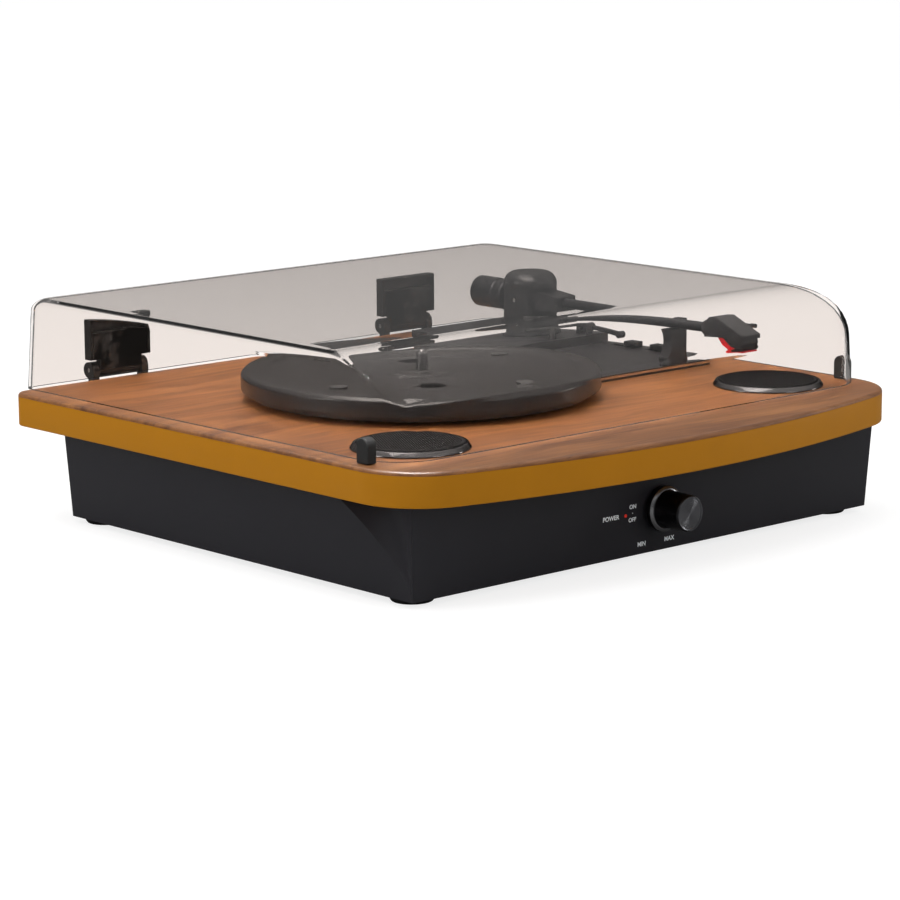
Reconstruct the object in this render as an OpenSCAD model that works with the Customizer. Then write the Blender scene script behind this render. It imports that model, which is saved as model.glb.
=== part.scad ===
// Belt-drive record player: bow-fronted board on a black case, clear lid, two built-in speakers.
// Origin: on the floor under the middle of the player. +X right, +Y back, +Z up. Millimetres.

/* [Board] */
// Width of the board
board_w = 420; // [400:5:460]
// Height of the board's underside above the floor
board_z = 60; // [54:1:70]
// Thickness of the painted core of the board
core_t = 18.5; // [15:0.5:24]
// Thickness of the walnut sheet on the board
veneer_t = 2.5; // [2:0.5:4]
// Radius of the bowed front edge
bow_r = 700; // [680:10:1200]
// Radius of the two front corners
front_corner_r = 45; // [35:1:55]

/* [Case] */
// Half width of the case at its foot
case_half_w = 192; // [188:1:194]
// How much wider the case is at its top, on each side
case_draft = 3; // [0:0.5:3]
// Wall thickness of the case
wall_t = 3; // [2:0.5:4]
// Height of the rubber feet
foot_h = 4; // [3:0.5:6]

/* [Platter] */
// Radius of the platter
platter_r = 112; // [105:1:113]
// Height of the platter's rim
rim_h = 12; // [10:1:14]
// Radius of the drive ring under the platter
drive_ring_r = 70; // [60:1:74]
// Radius of the motor pulley
pulley_r = 5; // [4:0.5:6]

/* [Tonearm] */
// Length from the pivot to the needle
arm_len = 198; // [190:1:200]
// Diameter of the arm tube
tube_d = 6.5; // [6:0.5:8]

/* [Lid] */
// Thickness of the clear lid
lid_t = 2.5; // [2:0.1:3]
// Height of the lid's top above the floor
lid_top_z = 139.5; // [138:0.5:142]

/* [Knob] */
// Diameter of the volume knob
knob_d = 23; // [20:1:26]
// How far the knob stands out of the case
knob_len = 24; // [20:1:26]

/* [Hidden] */
$fn = 64;

fit = 0.3;                                   // gap between parts that move past each other
half_w = board_w / 2;
board_front = -207;
board_rear = 196;
core_top = board_z + core_t;
deck_z = core_top + veneer_t;                // top of the wood
bow_y = board_front + bow_r;
corner_x = half_w - front_corner_r;
corner_y = bow_y - sqrt(pow(bow_r - front_corner_r, 2) - pow(corner_x, 2));
tangent_x = corner_x * bow_r / (bow_r - front_corner_r);
rear_r = 10;

case_front = -164;
case_rear = 161;
case_h = board_z - foot_h;
cover_t = 3;
foot_x = 175.5;
foot_front_y = -145;
foot_rear_y = 146;

platter_x = -34;
platter_y = 5;
platter_top = deck_z + 18;
plate_t = 3;
spindle_r = 3.6;
shaft_r = 3;
pulley_x = platter_x + 60;
pulley_y = platter_y + 60;
belt_z = platter_top - 12.5;
belt_h = 5;
belt_t = 0.6;
motor_shaft_r = 1;

speaker_x = 151;
speaker_y = -117;
speaker_r = 35;

arm_x = 150;
arm_y = 100;
arm_z = deck_z + 31;                         // height of the arm's tilt axis
deck_r = platter_r + 5;
arm_deck_z = deck_z + 6;                     // top of the arm deck's low front part
arm_shelf_z = deck_z + 13;                   // top of its raised rear part
rest_y = -34;
cue_r = 42;                                  // from the arm's pivot to the cue bar
cue_travel = 3;
needle_z = platter_top + 1.2;

lid_half_w = 202;
lid_front = -161;
lid_rear = board_rear - fit;
lid_z = deck_z + 1.6;
lid_draft = 4;                               // how far the side walls lean in
lid_edge_r = 8;
lid_corner_r = 34;
lid_arc_y = -93;                             // where the top starts to curve down to the front
lid_arc_r = 86;
lid_arc_end = 134;
lid_brow_drop = 4;
bumper_y = -136;

hinge_x = 124;
hinge_r = 5.5;
hinge_y = board_rear + hinge_r;
hinge_z = deck_z + 5.5;
hinge_w = 44;
ear_t = 5;
pin_r = 1.5;
hinge_screw_z = board_z + 9;

knob_x = 4;
knob_z = 30.5;
led_x = -24.6;
front_slope = case_draft / case_h;
knob_back = case_front - case_draft - fit;   // plane of the knob's back

module at(x, y, z) { translate([x, y, z]) children(); }

// A box with a corner at (x, y, z)
module box(x, y, z, w, d, h) { translate([x, y, z]) cube([w, d, h]); }

module rod(x, y, z, r, h) { translate([x, y, z]) cylinder(r = r, h = h); }

// A cylinder that points to the back from (x, y, z)
module rod_y(x, y, z, r, h) { translate([x, y, z]) rotate([-90, 0, 0]) cylinder(r = r, h = h); }

// A cylinder that points to the right from (x, y, z)
module rod_x(x, y, z, r, h) { translate([x, y, z]) rotate([0, 90, 0]) cylinder(r = r, h = h); }

module tube(r_out, r_in, h) {
    difference() {
        cylinder(r = r_out, h = h);
        translate([0, 0, -1]) cylinder(r = r_in, h = h + 2);
    }
}

// ---- board ----

// Plan of the board: straight sides, a bowed front, large front corners and small rear ones
module board_plan() {
    translate([-half_w, corner_y]) square([board_w, board_rear - rear_r - corner_y]);
    translate([rear_r - half_w, 0]) square([board_w - 2 * rear_r, board_rear]);
    intersection() {
        translate([0, bow_y]) circle(r = bow_r, $fn = 360);
        translate([-tangent_x, board_front]) square([2 * tangent_x, -board_front]);
    }
    for (side = [-1, 1]) {
        translate([side * corner_x, corner_y]) circle(r = front_corner_r);
        translate([side * (half_w - rear_r), board_rear - rear_r]) circle(r = rear_r);
    }
}

// Openings through the board for the bearing, the motor, the speakers and the arm's wires
module board_openings(z, h) {
    rod(platter_x, platter_y, z, 17, h);
    rod(pulley_x, pulley_y, z, 15, h);
    rod(arm_x, arm_y, z, 11, h);
    for (side = [-1, 1]) rod(side * speaker_x, speaker_y, z, 31, h);
}

board_screw_places = [for (x = [-165, 165]) for (y = [-60, 60, 140]) [x, y]];
hinge_screw_places = [for (side = [-1, 1]) for (x = [-12, 12]) side * hinge_x + x];

module board_core() {
    color("goldenrod") difference() {
        translate([0, 0, board_z]) linear_extrude(core_t) board_plan();
        board_openings(board_z - 1, core_t + 2);
        for (p = board_screw_places) rod(p[0], p[1], board_z - 1, 1.5, 13);
        for (p = plate_screw_places) rod(p[0], p[1], board_z - 1, 1.4, 11);
        for (p = hinge_screw_places) rod_y(p, board_rear - 14, hinge_screw_z, 1.5, 20);
    }
}

module walnut_top() {
    color("saddlebrown") difference() {
        translate([0, 0, core_top]) linear_extrude(veneer_t) board_plan();
        board_openings(core_top - 1, veneer_t + 2);
    }
}

module screw(r, length, head_r, head_h) {
    cylinder(r = r, h = length);
    translate([0, 0, -head_h]) difference() {
        cylinder(r = head_r, h = head_h);
        translate([-head_r * 0.6, -0.4, -0.1]) cube([head_r * 1.2, 0.8, head_h * 0.5]);
        translate([-0.4, -head_r * 0.6, -0.1]) cube([0.8, head_r * 1.2, head_h * 0.5]);
    }
}

module board_screws() {
    color("silver") for (p = board_screw_places)
        at(p[0], p[1], board_z - wall_t) screw(1.5, 14, 3.2, 1.8);
}

// ---- case ----

// The case's outer shape, drawn in by inset, between heights z0 and z1
module case_block(inset, z0, z1) {
    s0 = case_draft * (z0 - foot_h) / case_h - inset;
    s1 = case_draft * (z1 - foot_h) / case_h - inset;
    intersection() {
        rotate([90, 0, 0]) linear_extrude(500, center = true) polygon([
            [-case_half_w - s0, z0], [case_half_w + s0, z0],
            [case_half_w + s1, z1], [-case_half_w - s1, z1]]);
        rotate([90, 0, 90]) linear_extrude(500, center = true) polygon([
            [case_front - s0, z0], [case_rear + s0, z0], [case_rear + s1, z1], [case_front - s1, z1]]);
    }
}

scoop_steps = 12;
scoop_sides = 12;
scoop_len = 70;                              // length of the scoop under the board
scoop_start = 4;                             // height over the case's foot where it begins
scoop_lap = 0.05;                            // the cutter laps past both ends by this share

// How far back the scoop reaches at height z over the case's foot
function scoop_reach(z) = 0.2 + scoop_len * pow(z / case_h, 1.56);

// One level of the scoop's cutter, beside the left front corner
function scoop_ring(z) =
    let (x = -case_half_w - z * front_slope, y = case_front - z * front_slope, reach = scoop_reach(z),
        y0 = y - scoop_lap * reach, y1 = y + (1 + scoop_lap) * reach)
    concat(
        [for (i = [0 : scoop_sides])
            let (t = i / scoop_sides * (1 + 2 * scoop_lap) - scoop_lap)
            [x + 0.15 + 0.62 * reach * t * (1 - t), y + reach * t, foot_h + z]],
        [[x - 15, y1, foot_h + z], [x - 15, y0, foot_h + z]]);

// A hollow that follows the case's left front corner and grows towards the board
module scoop() {
    levels = [for (i = [0 : scoop_steps]) scoop_start + (case_h - scoop_start + 0.5) * i / scoop_steps];
    n = scoop_sides + 3;
    points = [for (z = levels) each scoop_ring(z)];
    sides = [for (k = [0 : scoop_steps - 1]) for (i = [0 : n - 1])
        let (a = k * n + i, b = k * n + (i + 1) % n) each [[b, a, a + n], [b, a + n, b + n]]];
    polyhedron(points,
        concat([[for (i = [0 : n - 1]) i]], sides, [[for (i = [n - 1 : -1 : 0]) scoop_steps * n + i]]));
}

rear_window_w = 84;
rear_window_h = 34;
cover_screw_places = [for (x = [-150, -50, 50, 150]) for (y = [-151, 150]) [x, y]];

module case_shell() {
    color([0.16, 0.16, 0.17]) difference() {
        union() {
            difference() {
                case_block(0, foot_h, board_z);
                case_block(wall_t, foot_h - 1, board_z - wall_t);
                // the case is open inside its top flange
                box(-150, -130, board_z - 10, 300, 262, 20);
                for (side = [-1, 1]) rod(side * speaker_x, speaker_y, board_z - 10, 32.5, 20);
            }
            // screw towers and thicker corners behind the scoops
            for (p = cover_screw_places)
                rod(p[0], p[1], foot_h + cover_t + fit, 4, board_z - wall_t - foot_h - cover_t - fit);
            intersection() {
                case_block(0.1, foot_h + 8, board_z);
                for (side = [-1, 1])
                    box(side * 191.5 - 10.5, case_front - 5, foot_h + 8, 21, 84, case_h - 8);
            }
        }
        scoop();
        mirror([1, 0, 0]) scoop();
        for (p = cover_screw_places) rod(p[0], p[1], foot_h, 1.5, 20);
        for (p = board_screw_places) rod(p[0], p[1], board_z - 10, 1.7, 20);
        rod_y(knob_x, case_front - 10, knob_z, 4, 30);
        rod_y(led_x, case_front - 10, knob_z - 1, 1.6, 30);
        box(-rear_window_w / 2, case_rear - 10, 20, rear_window_w, 20, rear_window_h);
    }
}

module bottom_cover() {
    color([0.13, 0.13, 0.13]) difference() {
        box(fit + wall_t - case_half_w, case_front + wall_t + fit, foot_h,
            2 * (case_half_w - wall_t - fit), case_rear - case_front - 2 * (wall_t + fit), cover_t);
        for (p = cover_screw_places) rod(p[0], p[1], foot_h - 1, 1.7, cover_t + 2);
        for (side = [-1, 1]) for (y = [foot_front_y, foot_rear_y])
            rod(side * foot_x, y, foot_h - 1, 3, cover_t + 2);
        // ventilation slots
        for (i = [-5 : 5]) box(i * 12 - 2, 60, foot_h - 1, 4, 50, cover_t + 2);
    }
}

module cover_screws() {
    color("silver") for (p = cover_screw_places) at(p[0], p[1], foot_h) screw(1.5, 14, 3, 1.6);
}

// A round rubber foot with a plug that presses into the bottom cover
module foot(x, y) {
    color([0.08, 0.08, 0.08]) at(x, y, 0) {
        rotate_extrude() polygon([[0, 0], [11.5, 0], [13, 1.2], [13, foot_h], [0, foot_h]]);
        rod(0, 0, foot_h, 3, cover_t);
        rod(0, 0, foot_h + cover_t, 3.8, 1.5);
    }
}

// ---- drive ----

plate_screw_places = [for (a = [45 : 90 : 315]) [platter_x + 34 * cos(a + 45), platter_y + 34 * sin(a + 45)]];

module drive_plate() {
    color("silver") at(0, 0, board_z - plate_t) difference() {
        union() {
            rod(platter_x, platter_y, 0, 42, plate_t);
            rod(pulley_x, pulley_y, 0, 26, plate_t);
            linear_extrude(plate_t) polygon([
                [platter_x + 30, platter_y - 20], [pulley_x + 18, pulley_y - 18],
                [pulley_x - 18, pulley_y + 18], [platter_x - 20, platter_y + 30]]);
        }
        rod(platter_x, platter_y, -1, 8, plate_t + 2);
        rod(pulley_x, pulley_y, -1, 6, plate_t + 2);
        for (p = plate_screw_places) rod(p[0], p[1], -1, 1.7, plate_t + 2);
    }
}

module drive_plate_screws() {
    color("silver") for (p = plate_screw_places) at(p[0], p[1], board_z - plate_t) screw(1.4, 12, 3, 1.6);
}

module spindle_bearing() {
    color("goldenrod") at(platter_x, platter_y, 0) difference() {
        union() {
            rod(0, 0, 42, 8, platter_top - 14 - 42);
            rod(0, 0, board_z, 14, 3);
        }
        rod(0, 0, 44, shaft_r + 0.05, 60);
    }
}

module drive_motor() {
    color("silver") at(pulley_x, pulley_y, 0) difference() {
        union() {
            rod(0, 0, board_z - plate_t - 26, 18, 26);
            rod(0, 0, board_z - plate_t, 5.5, 6);
            rod(0, 0, board_z - plate_t - 28, 4, 2);
        }
        rod(0, 0, board_z - plate_t - 27.1, motor_shaft_r + 0.05, 60);
    }
}

module motor_shaft() {
    low = board_z - plate_t - 27;
    color("gainsboro") rod(pulley_x, pulley_y, low, motor_shaft_r, belt_z + belt_h + 1.5 - low);
}

module motor_pulley() {
    color("goldenrod") at(pulley_x, pulley_y, 0) difference() {
        union() {
            rod(0, 0, belt_z - 2, pulley_r + 1.5, 1.5);
            rod(0, 0, belt_z - 1, pulley_r, belt_h + 2);
            rod(0, 0, belt_z + belt_h + 0.5, pulley_r + 1.5, 1);
        }
        rod(0, 0, belt_z - 3, motor_shaft_r, belt_h + 8);
    }
}

// Plan of the belt's outer or inner side, round the drive ring and the pulley
module belt_plan(grow) {
    hull() {
        circle(r = drive_ring_r + grow, $fn = 120);
        translate([pulley_x - platter_x, pulley_y - platter_y]) circle(r = pulley_r + grow, $fn = 24);
    }
}

module drive_belt() {
    color([0.1, 0.1, 0.1]) at(platter_x, platter_y, belt_z) linear_extrude(belt_h) difference() {
        belt_plan(fit + belt_t);
        belt_plan(fit);
    }
}

// Section of the platter, from the spindle out to the rim
module platter_section() {
    t = platter_top;
    r = platter_r;
    polygon([
        [shaft_r, t - 12], [14, t - 12], [14, t - 5], [drive_ring_r - 4, t - 5], [drive_ring_r - 4, t - 13],
        [drive_ring_r, t - 13], [drive_ring_r, t - 5], [r - 10, t - 5], [r - 10, t - 15], [r - 5, t - 15],
        [r - 5, t - rim_h], [r - 1, t - rim_h], [r, t - rim_h + 1], [r, t - 1.2], [r - 1.2, t],
        [r - 14, t], [r - 15.5, t - 1.4], [r - 47, t - 1.4], [r - 49, t - 2.4], [22, t - 2.4],
        [20, t - 1.2], [9, t - 1.2], [7.5, t - 0.2], [shaft_r, t - 0.2]]);
}

pad_angles = [10, 100, 190, 280];
pad_ring_r = 80;
pad_z = platter_top - 2.6;

module platter() {
    color([0.09, 0.09, 0.09]) at(platter_x, platter_y, 0) difference() {
        rotate_extrude($fn = 120) platter_section();
        for (a = pad_angles) rotate(a) rod(pad_ring_r, 0, pad_z, 5.5, 3);
        // two finger holes that give access to the belt
        for (a = [55, 235]) rotate(a) rod(52, 0, platter_top - 6, 9, 8);
    }
}

module platter_pads() {
    color([0.04, 0.04, 0.04]) at(platter_x, platter_y, pad_z)
        for (a = pad_angles) rotate(a) rod(pad_ring_r, 0, 0, 5.5, 2);
}

module record_spindle() {
    color("gainsboro") at(platter_x, platter_y, 0) rotate_extrude()
        polygon([[0, 45], [shaft_r, 45], [shaft_r, platter_top - 0.2], [spindle_r, platter_top - 0.2],
            [spindle_r, platter_top + 11], [spindle_r - 0.8, platter_top + 13], [1, platter_top + 14.5],
            [0, platter_top + 14.5]]);
}

// ---- speakers ----

speaker_collar_r = 30.7;
ring_h = 3.4;
grille_r = 31.3;

module speaker_ring(side) {
    color([0.12, 0.12, 0.13]) at(side * speaker_x, speaker_y, 0) rotate_extrude() polygon([
        [speaker_collar_r - 1.2, deck_z - 6], [speaker_collar_r, deck_z - 6], [speaker_collar_r, deck_z],
        [speaker_r, deck_z], [speaker_r, deck_z + 1.2], [speaker_r - 2, deck_z + ring_h],
        [grille_r + 0.2, deck_z + ring_h], [grille_r + 0.2, deck_z + 1.5],
        [speaker_collar_r - 1.2, deck_z + 1.5]]);
}

module speaker_grille(side) {
    color([0.2, 0.2, 0.21]) at(side * speaker_x, speaker_y, deck_z + 1.5)
        cylinder(r = grille_r, h = 2.6);
}

// Basket, cone and magnet of one speaker
module speaker_driver(side) {
    color([0.25, 0.25, 0.27]) at(side * speaker_x, speaker_y, 0) rotate_extrude() polygon([
        [0, 38], [18, 38], [18, 48], [12, 48], [12, 52], [24, 66], [24, 72], [29, 72], [29, 74],
        [26, 75.5], [23.5, 73.5], [10, 62], [8, 63.5], [5, 65.5], [0, 66.5]]);
}

// ---- tonearm ----

// Outline of the arm deck: straight on the right, hollowed beside the platter
module deck_outline(front, rear) {
    difference() {
        translate([arm_x - 76, front]) square([76 + 30, rear - front]);
        translate([platter_x, platter_y]) circle(r = deck_r, $fn = 180);
    }
}

cue_post = [arm_x - cue_r * sin(24), arm_y - cue_r * cos(24)];
slider_x = arm_x + 22;
speed_y = 24;
autostop_y = 0;
cue_axis = [arm_x + 18, 66, arm_shelf_z + 5];

module slider_slot(y, length) { box(slider_x - 2.5, y, deck_z + 2, 5, length, 20); }

module arm_deck() {
    color([0.14, 0.14, 0.15]) difference() {
        union() {
            at(0, 0, deck_z) linear_extrude(arm_deck_z - deck_z) deck_outline(rest_y - 5, 136);
            at(0, 0, deck_z) linear_extrude(arm_shelf_z - deck_z) deck_outline(56, 136);
            box(cue_axis[0] - 4, cue_axis[1] - 5, arm_shelf_z, 6, 10, 9);
        }
        rod(arm_x, arm_y, deck_z - 1, 10.5, 20);
        rod(cue_post[0], cue_post[1], deck_z + 2, 2.55, 20);
        rod_x(cue_axis[0] - 5, cue_axis[1], cue_axis[2], 2.05, 8);
        slider_slot(speed_y - 3, 22);
        slider_slot(autostop_y - 3, 14);
    }
}

module arm_pivot_base() {
    color([0.1, 0.1, 0.1]) at(arm_x, arm_y, 0) difference() {
        union() {
            rod(0, 0, arm_shelf_z, 20, 3);
            rod(0, 0, board_z + 2, 10.5, arm_shelf_z - board_z - 2);
        }
        rod(0, 0, board_z + 4, 4.05, 60);
    }
}

// Post with a cradle that is open towards the platter, so that the arm can swing out of it
module arm_rest() {
    tube_r = tube_d / 2;
    color([0.08, 0.08, 0.08]) at(arm_x, rest_y, 0) difference() {
        union() {
            box(-9, -4, arm_deck_z, 18, 8, arm_z - tube_r - fit - arm_deck_z);
            box(tube_r + 0.6, -4, arm_deck_z, 9 - tube_r - 0.6, 8, arm_z + 3 - arm_deck_z);
        }
        rod_y(-20, -5, arm_z - 12, 15, 10);
    }
}

// Curved bar that lifts the arm, on a plunger in the deck
module cue_bar() {
    top = arm_z - tube_d / 2 - cue_travel - fit;
    color([0.1, 0.1, 0.1]) {
        intersection() {
            at(arm_x, arm_y, top - 2.5) difference() {
                cylinder(r = cue_r + 1.5, h = 2.5, $fn = 120);
                at(0, 0, -1) cylinder(r = cue_r - 1.5, h = 5, $fn = 120);
            }
            at(arm_x, arm_y, top - 3) linear_extrude(4) polygon(concat([[0, 0]],
                [for (a = [-6 : 8 : 50]) [-60 * sin(a), -60 * cos(a)]]));
        }
        rod(cue_post[0], cue_post[1], deck_z + 2.5, 2.5, top - 2.5 - deck_z - 2.5);
    }
}

module cue_lever() {
    color([0.1, 0.1, 0.1]) at(cue_axis[0], cue_axis[1], cue_axis[2]) {
        rod_x(-4, 0, 0, 2, 6.3);
        rod_x(2.3, 0, 0, 4, 3.5);
        rotate([8, 0, 0]) box(2.3, -30, -1.5, 3.5, 30, 3);
        rotate([8, 0, 0]) rod_x(1.8, -30, 0, 2.6, 4.5);
    }
}

// A ribbed cap on a stem that slides in a slot of the deck
module slider(y) {
    color([0.08, 0.08, 0.08]) {
        box(slider_x - 2, y - 2, deck_z + 2.5, 4, 4, arm_deck_z + fit - deck_z - 2.5);
        difference() {
            box(slider_x - 4, y - 5, arm_deck_z + fit, 8, 10, 4);
            for (i = [-1, 0, 1]) box(slider_x - 5, y + i * 2.6 - 0.5, arm_deck_z + fit + 3, 10, 1, 2);
        }
    }
}

module speed_slider() { slider(speed_y); }
module autostop_slider() { slider(autostop_y); }

cheek_in = 9.6;
cheek_out = 15.5;
dome_z = arm_z + 8.6;

module arm_yoke() {
    color([0.1, 0.1, 0.1]) at(arm_x, arm_y, 0) difference() {
        union() {
            rod(0, 0, board_z + 6, 4, arm_shelf_z - board_z - 1);
            rod(0, 0, arm_shelf_z + 3 + fit, 18, 3);
            for (side = [-1, 1]) intersection() {
                box(side * (cheek_in + cheek_out) / 2 - (cheek_out - cheek_in) / 2, -12, arm_shelf_z + 4,
                    cheek_out - cheek_in, 24, dome_z - arm_shelf_z - 3.5);
                rod(0, 0, arm_shelf_z, 18, 60);
            }
            at(0, 0, dome_z) rotate_extrude() polygon(concat([[0, 0], [18, 0], [18, 2]],
                [for (a = [15 : 15 : 90]) [10 + 8 * cos(a), 2 + 8 * sin(a)]], [[0, 10]]));
        }
        rod_x(-20, 0, arm_z, pin_r, 40);
    }
}

module arm_tilt_pin() {
    color("silver") rod_x(arm_x - cheek_out + 0.5, arm_y, arm_z, pin_r, 2 * cheek_out - 1);
}

// From here d is the distance from the pivot along the arm, towards the needle
block_front = 35;
tube_end = 164;

module arm_block() {
    color([0.1, 0.1, 0.1]) at(arm_x, arm_y, arm_z) difference() {
        union() {
            rotate([90, 0, 90]) linear_extrude(18, center = true) polygon([
                [16, -5.5], [16, 5.5], [-16, 6.5], [-block_front, 4.5], [-block_front, -5.5], [-14, -6.5]]);
            rod_y(0, 15, 0, 4, 34);
        }
        rod_x(-20, 0, 0, pin_r + 0.05, 40);
    }
}

module arm_tube() {
    color([0.1, 0.1, 0.1]) at(arm_x, arm_y, arm_z)
        rotate([90, 0, 0]) at(0, 0, block_front) tube(tube_d / 2, tube_d / 2 - 1, tube_end - block_front);
}

module counterweight() {
    color([0.12, 0.12, 0.12]) at(arm_x, arm_y, arm_z) rotate([-90, 0, 0]) rotate_extrude() polygon([
        [4, 20], [9.5, 20], [10.5, 21], [10.5, 27], [10, 27.5], [10, 29], [10.5, 29.5], [10.5, 49],
        [9.5, 50], [4, 50]]);
}

// Side outline of a piece of the arm's head, as [d, z], made w wide
module head_slab(outline, w) {
    at(arm_x, arm_y, 0) rotate([90, 0, -90]) linear_extrude(w, center = true) polygon(outline);
}

module headshell() {
    z = arm_z;
    color([0.1, 0.1, 0.1]) {
        at(arm_x, arm_y, arm_z) rotate([90, 0, 0]) at(0, 0, tube_end) cylinder(r = 5, h = 12);
        head_slab([[tube_end + 6, z + 4.5], [174, z + 8.5], [180, z + 9], [203, z - 1], [203, z - 3.6],
            [185, z - 3.6], [tube_end + 6, z - 4.5]], 17);
        // finger lift
        at(arm_x + 7, arm_y - 186, z + 4.4) rotate([0, 14, 0]) {
            box(0, -2, -0.6, 14, 4, 1.2);
            at(14, -2, 0) rotate([-90, 0, 0]) cylinder(r = 1.4, h = 4);
        }
    }
}

module cartridge() {
    z = arm_z - 3.6;
    color([0.1, 0.1, 0.1])
        head_slab([[185, z], [202, z], [202.6, z - 3], [201, z - 5.6], [192, z - 5.6]], 15);
}

module stylus() {
    z = arm_z - 3.6;
    color("firebrick") {
        head_slab([[180, z - 0.5], [184.2, z - 0.5], [191.8, z - 5.8], [202, z - 5.8], [202, z - 7],
            [188, z - 7], [184, z - 5]], 13);
        rod(arm_x, arm_y - arm_len, needle_z, 0.4, arm_z - 10.5 - needle_z);
    }
}

// ---- lid ----

// Plan of the lid, drawn in by inset
module lid_plan(inset) {
    w = lid_half_w - inset;
    front = lid_front + inset;
    rear = lid_rear - inset;
    front_r = lid_corner_r - inset;
    rear_r2 = lid_edge_r - inset;
    translate([-w, front + front_r]) square([2 * w, rear - rear_r2 - front - front_r]);
    translate([front_r - w, front]) square([2 * (w - front_r), front_r + 1]);
    translate([rear_r2 - w, rear - rear_r2 - 1]) square([2 * (w - rear_r2), rear_r2 + 1]);
    for (side = [-1, 1]) {
        translate([side * (w - front_r), front + front_r]) circle(r = front_r);
        translate([side * (w - rear_r2), rear - rear_r2]) circle(r = rear_r2);
    }
}

function arc(cx, cz, r, a0, a1, n) =
    [for (i = [0 : n]) let (a = a0 + (a1 - a0) * i / n) [cx + r * cos(a), cz + r * sin(a)]];

// Solid of the lid's outer shape, drawn in by inset; its bottom runs down to height z0
module lid_block(inset, z0) {
    top = lid_top_z;
    e = lid_edge_r;
    w_top = lid_half_w - lid_draft;
    brow_y = lid_arc_y + lid_arc_r * cos(lid_arc_end);
    brow_z = top - lid_arc_r + lid_arc_r * sin(lid_arc_end);
    intersection() {
        at(0, 0, z0) linear_extrude(100) lid_plan(inset);
        rotate([90, 0, 90]) linear_extrude(500, center = true) polygon(concat(
            [[lid_rear - inset, z0]],
            arc(lid_rear - e, top - e, e - inset, 0, 90, 6),
            arc(lid_arc_y, top - lid_arc_r, lid_arc_r - inset, 90, lid_arc_end, 12),
            [[brow_y - 2.5 + inset, brow_z - lid_brow_drop],
                [lid_front + inset, lid_z], [lid_front + inset, z0]]));
        rotate([90, 0, 0]) linear_extrude(500, center = true) polygon(concat(
            [[-lid_half_w + inset, z0], [lid_half_w - inset, z0], [lid_half_w - inset, lid_z]],
            arc(w_top - e, top - e, e - inset, 0, 90, 6),
            arc(e - w_top, top - e, e - inset, 90, 180, 6),
            [[-lid_half_w + inset, lid_z]]));
    }
}

module lid_shell() {
    difference() {
        lid_block(0, lid_z);
        lid_block(lid_t, lid_z - 5);
    }
}

module lid() { color([0.8, 0.78, 0.76, 0.35]) lid_shell(); }

tongue_t = 4.5;
tongue_h = 29;

// Black channels on the lid's rear wall that the hinge tongues push into
module lid_pockets() {
    color([0.07, 0.07, 0.07]) for (side = [-1, 1])
        at(side * hinge_x, lid_rear, hinge_z + 7) difference() {
            box(-hinge_w / 2 - 2, 0, 0, hinge_w + 4, tongue_t + 2.3, tongue_h - 3);
            box(-hinge_w / 2, -1, -1, hinge_w, tongue_t + 1.3, tongue_h - 4);
        }
}

module hinge_tongue(side) {
    color([0.07, 0.07, 0.07]) at(side * hinge_x, 0, hinge_z) difference() {
        union() {
            box(-hinge_w / 2 + ear_t + fit, lid_rear, 0, hinge_w - 2 * (ear_t + fit), tongue_t, 10);
            box(-hinge_w / 2 + 0.2, lid_rear, 7, hinge_w - 0.4, tongue_t, tongue_h - 11.2);
            rod_x(-hinge_w / 2 + ear_t + fit, hinge_y, 0, hinge_r - 0.3, hinge_w - 2 * (ear_t + fit));
        }
        rod_x(-hinge_w, hinge_y, 0, pin_r + 0.05, 2 * hinge_w);
    }
}

module hinge_base(side) {
    color([0.07, 0.07, 0.07]) at(side * hinge_x, 0, 0) difference() {
        union() {
            box(-hinge_w / 2, board_rear, board_z + 2, hinge_w, 3, deck_z - board_z - 3);
            for (x = [-hinge_w / 2, hinge_w / 2 - ear_t]) {
                rod_x(x, hinge_y, hinge_z, hinge_r - 0.3, ear_t);
                box(x, board_rear, hinge_z - 12, ear_t, hinge_r, 12);
            }
        }
        rod_x(-hinge_w, hinge_y, hinge_z, pin_r, 2 * hinge_w);
        for (x = [-12, 12]) rod_y(x, board_rear - 1, hinge_screw_z, 1.6, 6);
    }
}

module hinge_pins() {
    color("silver") for (side = [-1, 1])
        rod_x(side * hinge_x - hinge_w / 2 + 0.5, hinge_y, hinge_z, pin_r, hinge_w - 1);
}

module hinge_screws() {
    color("silver") for (x = hinge_screw_places) at(x, board_rear + 3, hinge_screw_z) rotate([90, 0, 0])
        screw(1.5, 14, 3, 1.8);
}

// A rubber clip over the lid's bottom edge, on each side
module lid_bumpers() {
    color([0.05, 0.05, 0.05]) difference() {
        for (side = [-1, 1]) box(side * (lid_half_w - 1.2) - 3.6, bumper_y - 5, deck_z + fit, 7.2, 10, 15);
        lid_shell();
    }
}

// ---- controls ----

module volume_control() {
    y = case_front + wall_t;
    color("silver") difference() {
        union() {
            rod_y(knob_x, knob_back - 6, knob_z, 4, y - knob_back + 6);
            box(knob_x - 8.5, y, knob_z - 8.5, 17, 11, 17);
        }
        rod_y(knob_x, knob_back - 7, knob_z, 3.05, y - knob_back + 12);
    }
}

module volume_nut() {
    color("silver") difference() {
        rod_y(knob_x, knob_back - 2, knob_z, 6.3, 2, $fn = 6);
        rod_y(knob_x, knob_back - 3, knob_z, 4, 4);
    }
}

module volume_shaft() {
    color("gainsboro") rod_y(knob_x, knob_back - 17, knob_z, 3, 17 + case_front + wall_t + 4 - knob_back);
}

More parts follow.
